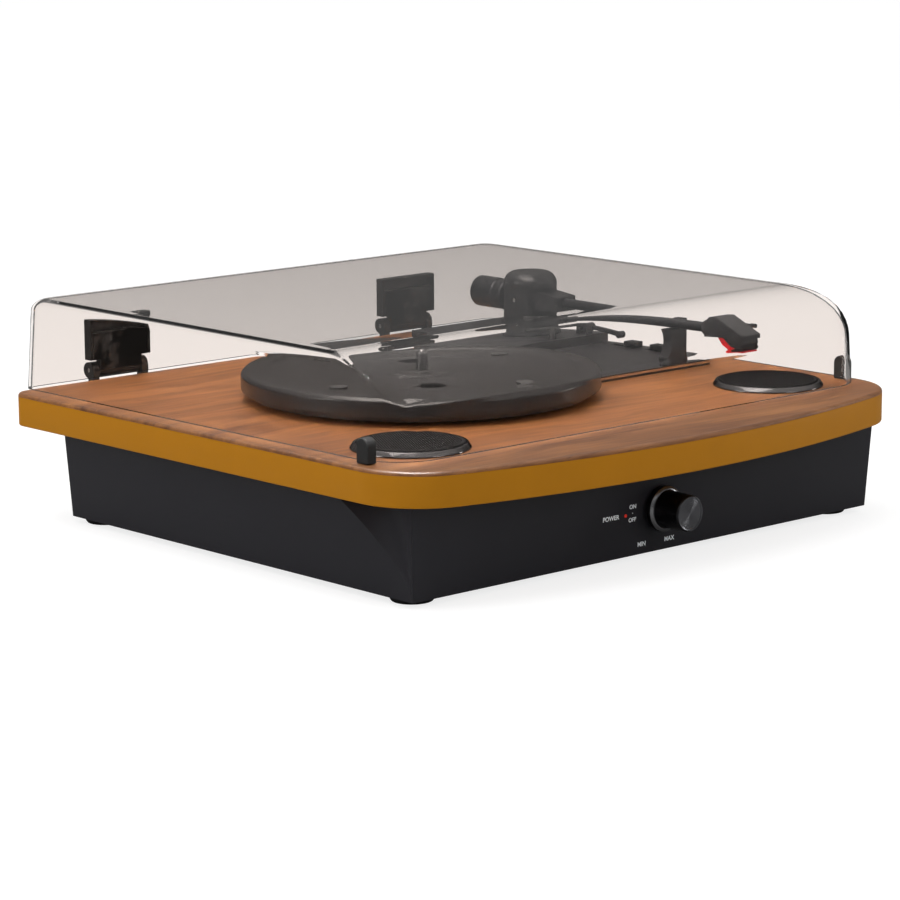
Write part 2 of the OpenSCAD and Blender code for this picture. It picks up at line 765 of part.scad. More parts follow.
module volume_knob() {
    r = knob_d / 2;
    color([0.1, 0.1, 0.1]) at(knob_x, knob_back, knob_z) rotate([90, 0, 0]) difference() {
        rotate_extrude() polygon([[0, 0.3], [r + 2.5, 0.3], [r + 2.5, 3.6], [r + 1.7, 4.4], [r + 0.5, 4.8],
            [r, 6], [r - 0.4, knob_len - 1.2], [r - 1.6, knob_len], [0, knob_len]]);
        at(0, 0, -1) cylinder(r = 8, h = 8);
        at(0, 0, 5) cylinder(r = 3, h = 12);
    }
}

module power_led() {
    color("red") at(led_x, 0, knob_z - 1) {
        rod_y(0, case_front - 2.2, 0, 1.55, 7);
        rod_y(0, case_front + wall_t + 0.5, 0, 2.2, 2);
    }
}

// ---- electronics ----

pcb = [-70, -142, 13];

module amplifier_board() {
    color("darkgreen") difference() {
        union() {
            box(pcb[0], pcb[1], pcb[2], 120, 86, 1.6);
            for (x = [5, 115]) for (y = [5, 81])
                rod(pcb[0] + x, pcb[1] + y, foot_h + cover_t, 3, pcb[2] - foot_h - cover_t);
        }
        for (x = [5, 115]) for (y = [5, 81]) rod(pcb[0] + x, pcb[1] + y, foot_h, 1.2, 20);
    }
}

module amplifier_parts() {
    z = pcb[2] + 1.6;
    color([0.2, 0.2, 0.22]) {
        // heat sink with fins
        box(pcb[0] + 84, pcb[1] + 30, z, 24, 3, 20);
        for (i = [0 : 4]) box(pcb[0] + 84 + i * 5.4, pcb[1] + 33, z, 2.2, 12, 20);
        // smoothing capacitors and coils
        for (i = [0 : 3]) rod(pcb[0] + 20 + i * 16, pcb[1] + 66, z, 6, 18);
        for (i = [0 : 2]) rod(pcb[0] + 24 + i * 18, pcb[1] + 44, z, 4, 11);
        // chips
        for (i = [0 : 2]) box(pcb[0] + 18 + i * 20, pcb[1] + 22, z, 12, 8, 2.4);
    }
}

socket_z = 36;
socket_xs = [-30, -12];
inlet_x = 26;

module rear_panel() {
    color([0.1, 0.1, 0.1]) difference() {
        intersection() {
            case_block(0.5, foot_h, board_z);
            box(-rear_window_w / 2, case_rear - 2.5, 20, rear_window_w, 12, rear_window_h);
        }
        for (x = socket_xs) rod_y(x, case_rear - 5, socket_z, 4.15, 15);
        rod_y(inlet_x, case_rear - 5, socket_z, 5, 15);
    }
}

module line_sockets() {
    color("silver") for (x = socket_xs) at(x, case_rear - 10, socket_z) rotate([-90, 0, 0]) difference() {
        union() {
            cylinder(r = 4.15, h = 24);
            at(0, 0, 11.8 + front_slope * 30) cylinder(r = 5.4, h = 1.4);
            box(-6, -6, 0, 12, 12, 7);
        }
        at(0, 0, 8) cylinder(r = 1.6, h = 20);
    }
}

module power_inlet() {
    color([0.1, 0.1, 0.1]) at(inlet_x, case_rear - 12, socket_z) rotate([-90, 0, 0]) difference() {
        union() {
            box(-6, -6, 0, 12, 12, 9);
            cylinder(r = 5, h = 14.2);
        }
        difference() {
            at(0, 0, 4) cylinder(r = 2.8, h = 20);
            at(0, 0, 3) cylinder(r = 1.05, h = 9);
        }
    }
}

case_shell();
bottom_cover();
cover_screws();
foot(-foot_x, foot_front_y);  // foot_front_left
foot(foot_x, foot_front_y);  // foot_front_right
foot(-foot_x, foot_rear_y);  // foot_rear_left
foot(foot_x, foot_rear_y);  // foot_rear_right
board_core();
walnut_top();
board_screws();
drive_plate();
drive_plate_screws();
spindle_bearing();
drive_motor();
motor_shaft();
motor_pulley();
drive_belt();
platter();
record_spindle();
platter_pads();
speaker_ring(-1);  // speaker_ring_left
speaker_ring(1);  // speaker_ring_right
speaker_grille(-1);  // speaker_grille_left
speaker_grille(1);  // speaker_grille_right
speaker_driver(-1);  // speaker_driver_left
speaker_driver(1);  // speaker_driver_right
arm_deck();
arm_pivot_base();
arm_rest();
cue_bar();
cue_lever();
speed_slider();
autostop_slider();
arm_yoke();
arm_block();
arm_tube();
arm_tilt_pin();
counterweight();
headshell();
cartridge();
stylus();
lid();
lid_pockets();
lid_bumpers();
hinge_base(-1);  // hinge_base_left
hinge_base(1);  // hinge_base_right
hinge_tongue(-1);  // hinge_tongue_left
hinge_tongue(1);  // hinge_tongue_right
hinge_pins();
hinge_screws();
volume_control();
volume_nut();
volume_shaft();
volume_knob();
power_led();
amplifier_board();
amplifier_parts();
rear_panel();
line_sockets();
power_inlet();
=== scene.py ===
# %% [markdown]
# # A record player under a smoky lid
# This notebook dresses the engineering model of a small record player: a bow-fronted wooden
# board on a black moulded case, a platter and tonearm, two loudspeakers let into the top, and a
# clear lid. The model gives every place and size. What is built here is the skin: real roundings,
# clear plastic with a thickness, wood that runs through the board, and turned metal.

# %% Load the frame
import math

import bmesh
import bpy
from mathutils import Matrix, Vector


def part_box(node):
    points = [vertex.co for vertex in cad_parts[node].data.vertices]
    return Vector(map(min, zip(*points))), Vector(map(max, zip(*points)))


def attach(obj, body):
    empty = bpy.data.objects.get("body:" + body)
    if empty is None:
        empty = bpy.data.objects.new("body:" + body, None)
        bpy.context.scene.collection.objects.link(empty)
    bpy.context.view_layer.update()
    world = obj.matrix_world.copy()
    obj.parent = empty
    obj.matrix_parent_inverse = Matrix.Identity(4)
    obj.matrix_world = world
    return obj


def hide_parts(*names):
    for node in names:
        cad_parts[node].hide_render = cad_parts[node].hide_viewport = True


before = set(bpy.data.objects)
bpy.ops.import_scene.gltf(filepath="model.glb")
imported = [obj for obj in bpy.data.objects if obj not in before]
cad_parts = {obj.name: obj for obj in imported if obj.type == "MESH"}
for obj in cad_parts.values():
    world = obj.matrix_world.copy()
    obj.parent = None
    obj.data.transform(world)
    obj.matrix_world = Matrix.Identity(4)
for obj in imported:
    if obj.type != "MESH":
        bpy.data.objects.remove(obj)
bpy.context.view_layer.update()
ON_AXIS = 1e-7
WELD = 2e-6
print("frame loaded:", len(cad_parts), "parts")


# %% [markdown]
# ## Small tools for shapes
# Three ways of making a surface cover nearly every piece here. A *loft* joins a stack of closed
# outlines, which suits the board, the case and the lid. A *lathe* turns a side profile round an
# axis, which suits the platter, the knob and the trim rings. And a *finished part* takes a plain
# machine part from the model and breaks its edges, because a real edge always has a small
# radius that catches the light.

# %% Loft, lathe and finished part
def add_object(name, data):
    obj = bpy.data.objects.new(name, data)
    bpy.context.scene.collection.objects.link(obj)
    return obj


def new_object(name, bm, smooth_angle=35):
    """Turns a bmesh into an object, with creases sharper than smooth_angle kept crisp."""
    mesh = bpy.data.meshes.new(name)
    bm.to_mesh(mesh)
    bm.free()
    obj = add_object(name, mesh)
    mesh.shade_smooth()
    mesh.set_sharp_from_angle(angle=math.radians(smooth_angle))
    return obj


def loft(name, rings, smooth_angle=35):
    """Joins outlines with equal point counts and caps both ends."""
    bm = bmesh.new()
    loops = [[bm.verts.new(p) for p in ring] for ring in rings]
    for low, high in zip(loops, loops[1:]):
        for i in range(len(low)):
            j = (i + 1) % len(low)
            bm.faces.new((low[i], low[j], high[j], high[i]))
    bm.faces.new(loops[0][::-1])
    bm.faces.new(loops[-1])
    bmesh.ops.recalc_face_normals(bm, faces=bm.faces)
    return new_object(name, bm, smooth_angle)


def lathe(name, profile, centre, axis="Z", steps=96, smooth_angle=35):
    """Turns (radius, height) points round an axis, on which they start and end, or else a loop."""
    turn = Matrix.Rotation(math.radians({"Z": 0, "-Y": 90, "Y": -90}[axis]), 3, "X")
    angles = [math.tau * i / steps for i in range(steps)]
    bm = bmesh.new()
    rows = []
    for radius, height in profile:
        if radius < ON_AXIS:
            ring = [Vector((0, 0, height))]
        else:
            ring = [Vector((radius * math.cos(a), radius * math.sin(a), height)) for a in angles]
        rows.append([bm.verts.new(turn @ p + centre) for p in ring])
    pairs = list(zip(rows, rows[1:]))
    if len(rows[0]) > 1 and len(rows[-1]) > 1:
        pairs.append((rows[-1], rows[0]))
    for low, high in pairs:
        for i in range(steps):
            j = (i + 1) % steps
            if len(low) == 1:
                bm.faces.new((low[0], high[j], high[i]))
            elif len(high) == 1:
                bm.faces.new((low[i], low[j], high[0]))
            else:
                bm.faces.new((low[i], low[j], high[j], high[i]))
    bmesh.ops.recalc_face_normals(bm, faces=bm.faces)
    return new_object(name, bm, smooth_angle)


def soften(obj, radius, angle=30):
    """Rounds an object's sharp edges with a live bevel."""
    bevel = obj.modifiers.new("soft edges", "BEVEL")
    bevel.width = radius
    bevel.segments = 3
    bevel.limit_method = "ANGLE"
    bevel.angle_limit = math.radians(angle)
    bevel.harden_normals = True
    return obj


def finished_part(node, radius, angle=30):
    """A copy of a model part with its edges rounded off, to stand in for that part."""
    bm = bmesh.new()
    bm.from_mesh(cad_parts[node].data)
    bmesh.ops.remove_doubles(bm, verts=bm.verts, dist=WELD)
    bmesh.ops.dissolve_limit(bm, angle_limit=math.radians(1), verts=bm.verts, edges=bm.edges)
    obj = soften(new_object(node + "_finished", bm, angle), radius)
    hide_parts(node)
    return obj


def rounded(points, radius, steps=5):
    """Replaces the corners of an open (r, z) profile by small curves, apart from its ends."""
    out = [Vector(points[0])]
    for i in range(1, len(points) - 1):
        before, here, after = (Vector(p) for p in points[i - 1:i + 2])
        to_a, to_b = before - here, after - here
        reach = min(radius, to_a.length * 0.45, to_b.length * 0.45)
        if reach < 1e-6:
            out.append(here)
            continue
        a, b = here + to_a.normalized() * reach, here + to_b.normalized() * reach
        for k in range(steps + 1):
            t = k / steps
            out.append(a * (1 - t) ** 2 + here * 2 * t * (1 - t) + b * t ** 2)
    out.append(Vector(points[-1]))
    return [tuple(p) for p in out]


def cut_away(obj, cutters, smooth_angle):
    """Takes the cutters' shapes out of an object for good, and removes them."""
    for cutter in cutters:
        cut = obj.modifiers.new("cut", "BOOLEAN")
        cut.object = cutter
        cut.operation = "DIFFERENCE"
        cut.solver = "EXACT"
    mesh = bpy.data.meshes.new_from_object(obj.evaluated_get(bpy.context.evaluated_depsgraph_get()))
    obj.modifiers.clear()
    obj.data = mesh
    mesh.shade_smooth()
    mesh.set_sharp_from_angle(angle=math.radians(smooth_angle))
    for cutter in cutters:
        bpy.data.objects.remove(cutter)


print("shape tools ready: loft, lathe, finished part")


# %% [markdown]
# ## Shared surface effects
# Nothing made in a factory is one flat colour. Three effects are used again and again, so each
# is a shader group, built once: *moulded grain* for plastic, rubber and paint, *turned rings* for
# anything that came off a lathe, and *long grain* for wood. They read Object coordinates, so a
# pattern stays on its piece when the piece moves.

# %% Node helpers
def node(tree, kind, **values):
    """A new node, set down in a staircase so that none hides another."""
    n = tree.nodes.new(kind)
    n.location = (200 * len(tree.nodes), -90 * len(tree.nodes))
    for key, value in values.items():
        setattr(n, key, value)
    return n


def new_group(name, inputs):
    """A shader group with the inputs (name, kind, default), that gives a colour, gloss and relief."""
    tree = bpy.data.node_groups.new(name, "ShaderNodeTree")
    for label, kind, default in inputs:
        socket = tree.interface.new_socket(label, in_out="INPUT", socket_type="NodeSocket" + kind)
        socket.default_value = default
    for label, kind in (("Colour", "Color"), ("Roughness", "Float"), ("Normal", "Vector")):
        tree.interface.new_socket(label, in_out="OUTPUT", socket_type="NodeSocket" + kind)
    return tree, node(tree, "NodeGroupInput"), node(tree, "NodeGroupOutput")


def math_node(tree, operation, a, b, clamp=False):
    n = node(tree, "ShaderNodeMath", operation=operation, use_clamp=clamp)
    for socket, value in zip(n.inputs, (a, b)):
        if isinstance(value, (int, float)):
            socket.default_value = value
        else:
            tree.links.new(value, socket)
    return n.outputs[0]


def noise(tree, vector, scale, detail, roughness):
    n = node(tree, "ShaderNodeTexNoise")
    n.inputs["Detail"].default_value = detail
    n.inputs["Roughness"].default_value = roughness
    tree.links.new(vector, n.inputs["Vector"])
    if isinstance(scale, (int, float)):
        n.inputs["Scale"].default_value = scale
    else:
        tree.links.new(scale, n.inputs["Scale"])
    return n.outputs["Fac"]


def bump(tree, height, distance):
    n = node(tree, "ShaderNodeBump")
    n.inputs["Distance"].default_value = distance
    n.inputs["Strength"].default_value = 1.0
    tree.links.new(height, n.inputs["Height"])
    return n


def scaled_colour(tree, colour, factor):
    n = node(tree, "ShaderNodeVectorMath", operation="SCALE")
    tree.links.new(colour, n.inputs[0])
    tree.links.new(factor, n.inputs["Scale"])
    return n.outputs[0]


# %% Moulded grain: a fine even texture with a little cloudiness in colour and gloss
def build_moulded_grain():
    tree, gin, gout = new_group(
        "moulded grain",
        [("Colour", "Color", (0.02, 0.02, 0.02, 1)), ("Roughness", "Float", 0.4),
         ("Grain size", "Float", 1500.0), ("Cloudiness", "Float", 0.1), ("Grain depth", "Float", 0.2)])
    place = node(tree, "ShaderNodeTexCoord").outputs["Object"]
    fine = noise(tree, place, gin.outputs["Grain size"], 2.0, 0.6)
    cloud = noise(tree, place, 38.0, 4.0, 0.6)
    swing = math_node(tree, "SUBTRACT", cloud, 0.5)
    swing = math_node(tree, "MULTIPLY", swing, gin.outputs["Cloudiness"])
    tint = math_node(tree, "ADD", math_node(tree, "MULTIPLY", swing, 4.0), 1.0)
    tree.links.new(scaled_colour(tree, gin.outputs["Colour"], tint), gout.inputs["Colour"])
    spread = math_node(tree, "MULTIPLY", math_node(tree, "SUBTRACT", fine, 0.5), 0.12)
    rough = math_node(tree, "ADD", gin.outputs["Roughness"], swing)
    rough = math_node(tree, "ADD", rough, spread, clamp=True)
    tree.links.new(rough, gout.inputs["Roughness"])
    height = math_node(tree, "MULTIPLY", fine, gin.outputs["Grain depth"])
    relief = bump(tree, height, 0.0002)
    tree.links.new(relief.outputs["Normal"], gout.inputs["Normal"])
    return tree


# %% Turned rings: fine grooves round an axis through the piece, as a lathe tool leaves them
def build_turned_rings():
    tree, gin, gout = new_group(
        "turned rings",
        [("Colour", "Color", (0.02, 0.02, 0.02, 1)), ("Roughness", "Float", 0.3),
         ("Centre", "Vector", (0, 0, 0)), ("Across", "Vector", (1, 1, 0)),
         ("Pitch", "Float", 0.0006), ("Groove depth", "Float", 0.5)])
    place = node(tree, "ShaderNodeTexCoord").outputs["Object"]
    shift = node(tree, "ShaderNodeVectorMath", operation="SUBTRACT")
    tree.links.new(place, shift.inputs[0])
    tree.links.new(gin.outputs["Centre"], shift.inputs[1])
    flat = node(tree, "ShaderNodeVectorMath", operation="MULTIPLY")
    tree.links.new(shift.outputs[0], flat.inputs[0])
    tree.links.new(gin.outputs["Across"], flat.inputs[1])
    length = node(tree, "ShaderNodeVectorMath", operation="LENGTH")
    tree.links.new(flat.outputs[0], length.inputs[0])
    wander = noise(tree, place, 90.0, 2.0, 0.5)
    turns = math_node(tree, "DIVIDE", length.outputs["Value"], gin.outputs["Pitch"])
    turns = math_node(tree, "ADD", turns, math_node(tree, "MULTIPLY", wander, 0.35))
    groove = math_node(tree, "SINE", math_node(tree, "MULTIPLY", turns, math.tau), 0.0)
    height = math_node(tree, "MULTIPLY", groove, gin.outputs["Groove depth"])
    relief = bump(tree, height, 0.00008)
    tree.links.new(relief.outputs["Normal"], gout.inputs["Normal"])
    cloud = noise(tree, place, 55.0, 3.0, 0.5)
    tint = math_node(tree, "ADD", math_node(tree, "MULTIPLY", cloud, 0.3), 0.85)
    tree.links.new(scaled_colour(tree, gin.outputs["Colour"], tint), gout.inputs["Colour"])
    extra = math_node(tree, "MULTIPLY", cloud, 0.08)
    rough = math_node(tree, "ADD", gin.outputs["Roughness"], extra, clamp=True)
    tree.links.new(rough, gout.inputs["Roughness"])
    return tree


# %% Long grain: walnut whose figure runs along X, with dark pores and a satin lacquer
def build_long_grain():
    tree, gin, gout = new_group(
        "long grain",
        [("Light", "Color", (0.30, 0.122, 0.038, 1)), ("Dark", "Color", (0.10, 0.034, 0.011, 1)),
         ("Roughness", "Float", 0.35), ("Figure", "Float", 9.0), ("Pore depth", "Float", 0.6)])
    place = node(tree, "ShaderNodeTexCoord").outputs["Object"]

    def stretched(x_scale, y_scale):
        n = node(tree, "ShaderNodeMapping")
        n.inputs["Scale"].default_value = (x_scale, y_scale, y_scale)
        tree.links.new(place, n.inputs["Vector"])
        return n.outputs[0]

    drift = noise(tree, stretched(1.6, 7.0), 2.2, 3.0, 0.5)
    bend = node(tree, "ShaderNodeVectorMath", operation="ADD")
    tree.links.new(stretched(1.0, 9.0), bend.inputs[0])
    push = node(tree, "ShaderNodeCombineXYZ")
    tree.links.new(math_node(tree, "MULTIPLY", drift, 0.75), push.inputs["Y"])
    tree.links.new(push.outputs[0], bend.inputs[1])
    figure = noise(tree, bend.outputs[0], gin.outputs["Figure"], 5.0, 0.62)
    streak = noise(tree, stretched(5.0, 260.0), 1.0, 4.0, 0.7)
    pore_seed = noise(tree, stretched(38.0, 1300.0), 1.0, 1.0, 0.5)
    pore = node(tree, "ShaderNodeMapRange")
    pore.inputs["From Min"].default_value = 0.62
    pore.inputs["From Max"].default_value = 0.74
    tree.links.new(pore_seed, pore.inputs["Value"])
    mixed = math_node(tree, "ADD", math_node(tree, "MULTIPLY", figure, 1.25),
                      math_node(tree, "MULTIPLY", streak, 0.55))
    level = node(tree, "ShaderNodeMapRange")
    level.inputs["From Min"].default_value = 0.62
    level.inputs["From Max"].default_value = 1.12
    tree.links.new(mixed, level.inputs["Value"])
    tone = node(tree, "ShaderNodeMix", data_type="RGBA")
    tree.links.new(level.outputs[0], tone.inputs["Factor"])
    tree.links.new(gin.outputs["Dark"], tone.inputs[6])
    tree.links.new(gin.outputs["Light"], tone.inputs[7])
    darker = math_node(tree, "MULTIPLY", pore.outputs[0], 0.45)
    shade = math_node(tree, "SUBTRACT", 1.0, darker)
    tree.links.new(scaled_colour(tree, tone.outputs[2], shade), gout.inputs["Colour"])
    extra = math_node(tree, "MULTIPLY", streak, 0.1)
    rough = math_node(tree, "ADD", gin.outputs["Roughness"], extra)
    tree.links.new(rough, gout.inputs["Roughness"])
    sunk = math_node(tree, "MULTIPLY", gin.outputs["Pore depth"], -1.0)
    depth = math_node(tree, "MULTIPLY", pore.outputs[0], sunk)
    relief = bump(tree, depth, 0.00006)
    tree.links.new(relief.outputs["Normal"], gout.inputs["Normal"])
    return tree


GRAIN, RINGS, WOOD = build_moulded_grain(), build_turned_rings(), build_long_grain()
print("shader groups:", GRAIN.name + ",", RINGS.name + ",", WOOD.name)


# %% [markdown]
# ## The finishes
# Each material is a Principled shader whose colour, roughness and relief come from one of the
# three groups. Plastics differ in gloss and in how coarse the mould's texture is. The paint on
# the board's edge is nearly dull, and the spindle is a dark polished metal.

# %% Material makers
def blank_material(name, plain=()):
    """A new Principled material; plain sets the shader's own sockets."""
    mat = bpy.data.materials.new(name)
    mat.use_nodes = True
    shader = mat.node_tree.nodes["Principled BSDF"]
    for socket, value in dict(plain).items():
        shader.inputs[socket].default_value = value
    return mat, mat.node_tree, shader


def fed_material(name, group, values, plain, outputs=("Colour", "Roughness", "Normal")):
    """A Principled material whose surface comes from a shader group with the given values."""
    mat, tree, shader = blank_material(name, plain)
    effect = node(tree, "ShaderNodeGroup")
    effect.node_tree = group
    for key, value in values.items():
        effect.inputs[key].default_value = value
    for label in outputs:
        tree.links.new(effect.outputs[label], shader.inputs["Base Color" if label == "Colour" else label])
    return mat


def material(name, group, colour, roughness, plain, values):
    mat = fed_material(name, group, {"Colour": (*colour, 1), "Roughness": roughness, **values}, plain)
    mat.diffuse_color = (*colour, 1)
    return mat


def texture(size=1500.0, depth=0.2, cloud=0.1):
    return {"Grain size": size, "Grain depth": depth, "Cloudiness": cloud}


def plastic(name, colour, roughness, gloss=0.5, feel=texture()):
    return material(name, GRAIN, colour, roughness, {"Specular IOR Level": gloss}, feel)


def metal(name, colour, roughness, feel=texture()):
    return material(name, GRAIN, colour, roughness, {"Metallic": 1.0}, feel)


def turned(name, colour, roughness, plain, centre, across, pitch, depth):
    values = {"Centre": tuple(centre), "Across": across, "Pitch": pitch, "Groove depth": depth}
    return material(name, RINGS, colour, roughness, plain, values)


# %% Plastics, metals, paint and turned parts
platter_low, platter_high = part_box("platter")
spindle_low, spindle_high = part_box("record_spindle")
disc_centre = Vector(((spindle_low.x + spindle_high.x) / 2, (spindle_low.y + spindle_high.y) / 2, 0))
knob_low, knob_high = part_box("volume_knob")
knob_centre = (knob_low + knob_high) / 2

case_finish = plastic("black moulded case", (0.0205, 0.0198, 0.0238), 0.42, 0.22, texture(2600.0, cloud=0.05))
cover_finish = plastic("matte black cover", (0.014, 0.014, 0.014), 0.6, 0.3)
rubber_finish = plastic("black rubber", (0.012, 0.012, 0.012), 0.7, 0.25, texture(1100.0, 0.35))
deck_finish = plastic("satin deck plastic", (0.014, 0.014, 0.015), 0.32, 0.5, texture(2200.0))
arm_finish = plastic("semi-gloss arm plastic", (0.011, 0.011, 0.012), 0.22, 0.5, texture(3000.0, 0.06))
trim_finish = metal("black chrome trim", (0.17, 0.17, 0.175), 0.06, texture(depth=0.01, cloud=0.02))
grille_finish = plastic("charcoal grille", (0.011, 0.011, 0.0115), 0.8, 0.05, texture(2400.0))
cone_finish = plastic("black paper cone", (0.01, 0.01, 0.01), 0.85, 0.2, texture(700.0, 0.6))
red_finish = plastic("red moulded plastic", (0.42, 0.006, 0.008), 0.25, 0.5, texture(depth=0.05))
board_green = plastic("green circuit board", (0.015, 0.09, 0.03), 0.35, 0.5, texture(600.0))
part_grey = plastic("dark electronic parts", (0.035, 0.035, 0.04), 0.4)
label_finish = plastic("pale print", (0.88, 0.92, 0.95), 0.5, 0.3)
zinc_finish = metal("bright zinc", (0.62, 0.62, 0.6), 0.3)
dark_metal = metal("black anodised metal", (0.045, 0.045, 0.048), 0.28, texture(4000.0, 0.05))
brass_finish = metal("turned brass", (0.72, 0.5, 0.2), 0.28)
gold_finish = metal("gold plated shell", (0.85, 0.62, 0.25), 0.2)
paint_finish = plastic("mustard paint", (0.40, 0.160, 0.0025), 0.45, 0.12, texture(900.0, 0.12, 0.03))
platter_finish = turned("satin turned platter", (0.013, 0.0125, 0.0125), 0.2, {"Specular IOR Level": 0.5},
                        disc_centre, (1, 1, 0), 0.0007, 0.25)
spun_finish = turned("spun black metal", (0.16, 0.16, 0.17), 0.16, {"Metallic": 1.0},
                     knob_centre, (1, 0, 1), 0.00032, 0.1)
steel_finish = turned("dark polished spindle", (0.2, 0.2, 0.2), 0.15, {"Metallic": 1.0},
                      disc_centre, (0, 0, 1), 0.0009, 0.1)
print("finishes made:", len(bpy.data.materials))


# %% [markdown]
# The top is a thin sheet of walnut. Its figure could be drawn by hand, but wood is noise that has
# been pulled out along the trunk, so the long grain group makes it, with its own default colours.
# A satin lacquer only needs a low gloss here.

# %% Walnut
walnut_finish = fed_material("satin walnut", WOOD, {}, {"Specular IOR Level": 0.3})
print("walnut: light", [round(v, 3) for v in WOOD.interface.items_tree["Light"].default_value[:3]])


# %% [markdown]
# Clear acrylic is a Principled shader with full transmission. Light from lamps has to reach the
# things under the lid, so rays that look for a lamp go through as if the sheet were only
# tinted: that is the Light Path node's job. Real acrylic bends light more than this one does. Its
# index is set low so that the broad flat top stays clear when it is seen at a shallow angle.

# %% Smoky acrylic
def make_acrylic():
    mat, tree, shader = blank_material("smoky acrylic", {
        "Base Color": (0.88, 0.84, 0.815, 1), "Roughness": 0.0, "IOR": 1.12, "Transmission Weight": 1.0})
    clear = node(tree, "ShaderNodeBsdfTransparent")
    clear.inputs["Color"].default_value = (0.9, 0.87, 0.85, 1)
    path = node(tree, "ShaderNodeLightPath")
    mix = node(tree, "ShaderNodeMixShader")
    tree.links.new(path.outputs["Is Shadow Ray"], mix.inputs[0])
    tree.links.new(shader.outputs[0], mix.inputs[1])
    tree.links.new(clear.outputs[0], mix.inputs[2])
    tree.links.new(mix.outputs[0], tree.nodes["Material Output"].inputs["Surface"])
    return mat


acrylic_finish = make_acrylic()
print("clear finish:", acrylic_finish.name)


# %% Dressing a piece
def dress(obj, finish, body):
    """Gives a new piece its material and the body it rides on."""
    obj.data.materials.clear()
    obj.data.materials.append(finish)
    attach(obj, body)
    return obj


def coat(finish, *names):
    """Gives parts of the model themselves a finish."""
    for name in names:
        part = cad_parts[name]
        part.data.materials.clear()
        part.data.materials.append(finish)


# %% [markdown]
# ## The board
# The board is a fibreboard core with a painted edge and a sheet of walnut on top. Its front is
# one long arc and its corners are large and round. Every outline of it is the same curve drawn
# in by a small inset, so the rounded edges are a stack of insets that follows a quarter circle.

# %% Board outline
core_low, core_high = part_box("board_core")
sheet_low, sheet_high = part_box("walnut_top")
HALF_WIDTH = core_high.x
BOW_RADIUS = 0.700
CORNER_RADIUS = 0.045
REAR_RADIUS = 0.010
bow_centre_y = core_low.y + BOW_RADIUS
corner_x = HALF_WIDTH - CORNER_RADIUS
corner_y = bow_centre_y - math.sqrt((BOW_RADIUS - CORNER_RADIUS) ** 2 - corner_x ** 2)
bow_angle = math.asin(corner_x / (BOW_RADIUS - CORNER_RADIUS))


def arc(cx, cy, radius, start, end, steps):
    return [(cx + radius * math.cos(a), cy + radius * math.sin(a))
            for a in (start + (end - start) * i / steps for i in range(steps + 1))]


def board_outline(inset, z):
    """The board's outline drawn in by inset, counter-clockwise from the middle of the front."""
    down = -math.pi / 2
    right = arc(0, bow_centre_y, BOW_RADIUS - inset, down, down + bow_angle, 24)[:-1]
    right += arc(corner_x, corner_y, CORNER_RADIUS - inset, down + bow_angle, 0, 20)
    right += arc(HALF_WIDTH - REAR_RADIUS, core_high.y - REAR_RADIUS, REAR_RADIUS - inset, 0, math.pi / 2, 8)
    left = [(-x, y) for x, y in reversed(right[1:])]
    return [Vector((x, y, z)) for x, y in right + left]


def rounded_slab(name, low, high, low_radius, high_radius, steps=6):
    rings = []
    for i in range(steps + 1):
        a = math.pi / 2 * i / steps
        rings.append(board_outline(low_radius * (1 - math.sin(a)), low + low_radius * (1 - math.cos(a))))
    for i in range(steps + 1):
        a = math.pi / 2 * i / steps
        rings.append(board_outline(high_radius * (1 - math.cos(a)), high - high_radius * (1 - math.sin(a))))
    return loft(name, rings, 40)


# %% Painted core and walnut sheet
core = rounded_slab("painted_core", core_low.z, core_high.z, 0.0012, 0.0003)
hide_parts("board_core")
dress(core, paint_finish, "base")
sheet = rounded_slab("walnut_sheet", sheet_low.z, sheet_high.z, 0.0001, 0.0022, 8)
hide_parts("walnut_top")
dress(sheet, walnut_finish, "base")


# %% [markdown]
# ## The case
# The case is a plain tapering box, apart from its two front corners: a shallow scoop starts as a
# point at the foot and opens towards the board. Each level of the case is therefore an outline
# with two short arcs in it, and the loft through 60 levels gives one smooth hollow. A window is
# cut in the back for the rear panel. Parts that are nearly out of sight keep the model's shape.

# %% Case with scooped corners
case_low, case_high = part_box("case_shell")
CASE_DRAFT = 0.003
SCOOP_LENGTH = 0.070
SCOOP_POWER = 1.56
SCOOP_DEPTH = 0.62
CASE_LEVELS = 60
REAR_CORNER = 0.003
case_height = case_high.z - case_low.z


def case_outline(t):
    """The case's outline at a share t of its height, counter-clockwise from the left front corner."""
    out = CASE_DRAFT * (1 - t)
    x, front, rear = case_high.x - out, case_low.y + out, case_high.y - out
    reach = 0.0002 + SCOOP_LENGTH * t ** SCOOP_POWER
    steps, side = 28, []
    for i in range(steps + 1):
        s = (1 - math.cos(math.pi * i / steps)) / 2
        side.append((x - SCOOP_DEPTH * reach * s * (1 - s), front + reach * s))
    right = [(x * k / 6, front) for k in range(6)] + side
    right += arc(x - REAR_CORNER, rear - REAR_CORNER, REAR_CORNER, 0, math.pi / 2, 6)
    left = [(-px, py) for px, py in reversed(right[1:])]
    return [Vector((px, py, case_low.z + t * case_height)) for px, py in right + left]


def make_case():
    case = loft("case_skin", [case_outline(i / CASE_LEVELS) for i in range(CASE_LEVELS + 1)], 24)
    panel_low, panel_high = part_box("rear_panel")
    bm = bmesh.new()
    bmesh.ops.create_cube(bm, size=1.0)
    low = Vector((panel_low.x, panel_low.y - 0.0005, panel_low.z))
    high = Vector((panel_high.x, panel_high.y + 0.02, panel_high.z))
    bm.transform(Matrix.Translation((low + high) / 2) @ Matrix.Diagonal((*(high - low), 1)))
    cut_away(case, [new_object("window_cutter", bm)], 24)
    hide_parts("case_shell")
    return dress(case, case_finish, "base")


make_case()


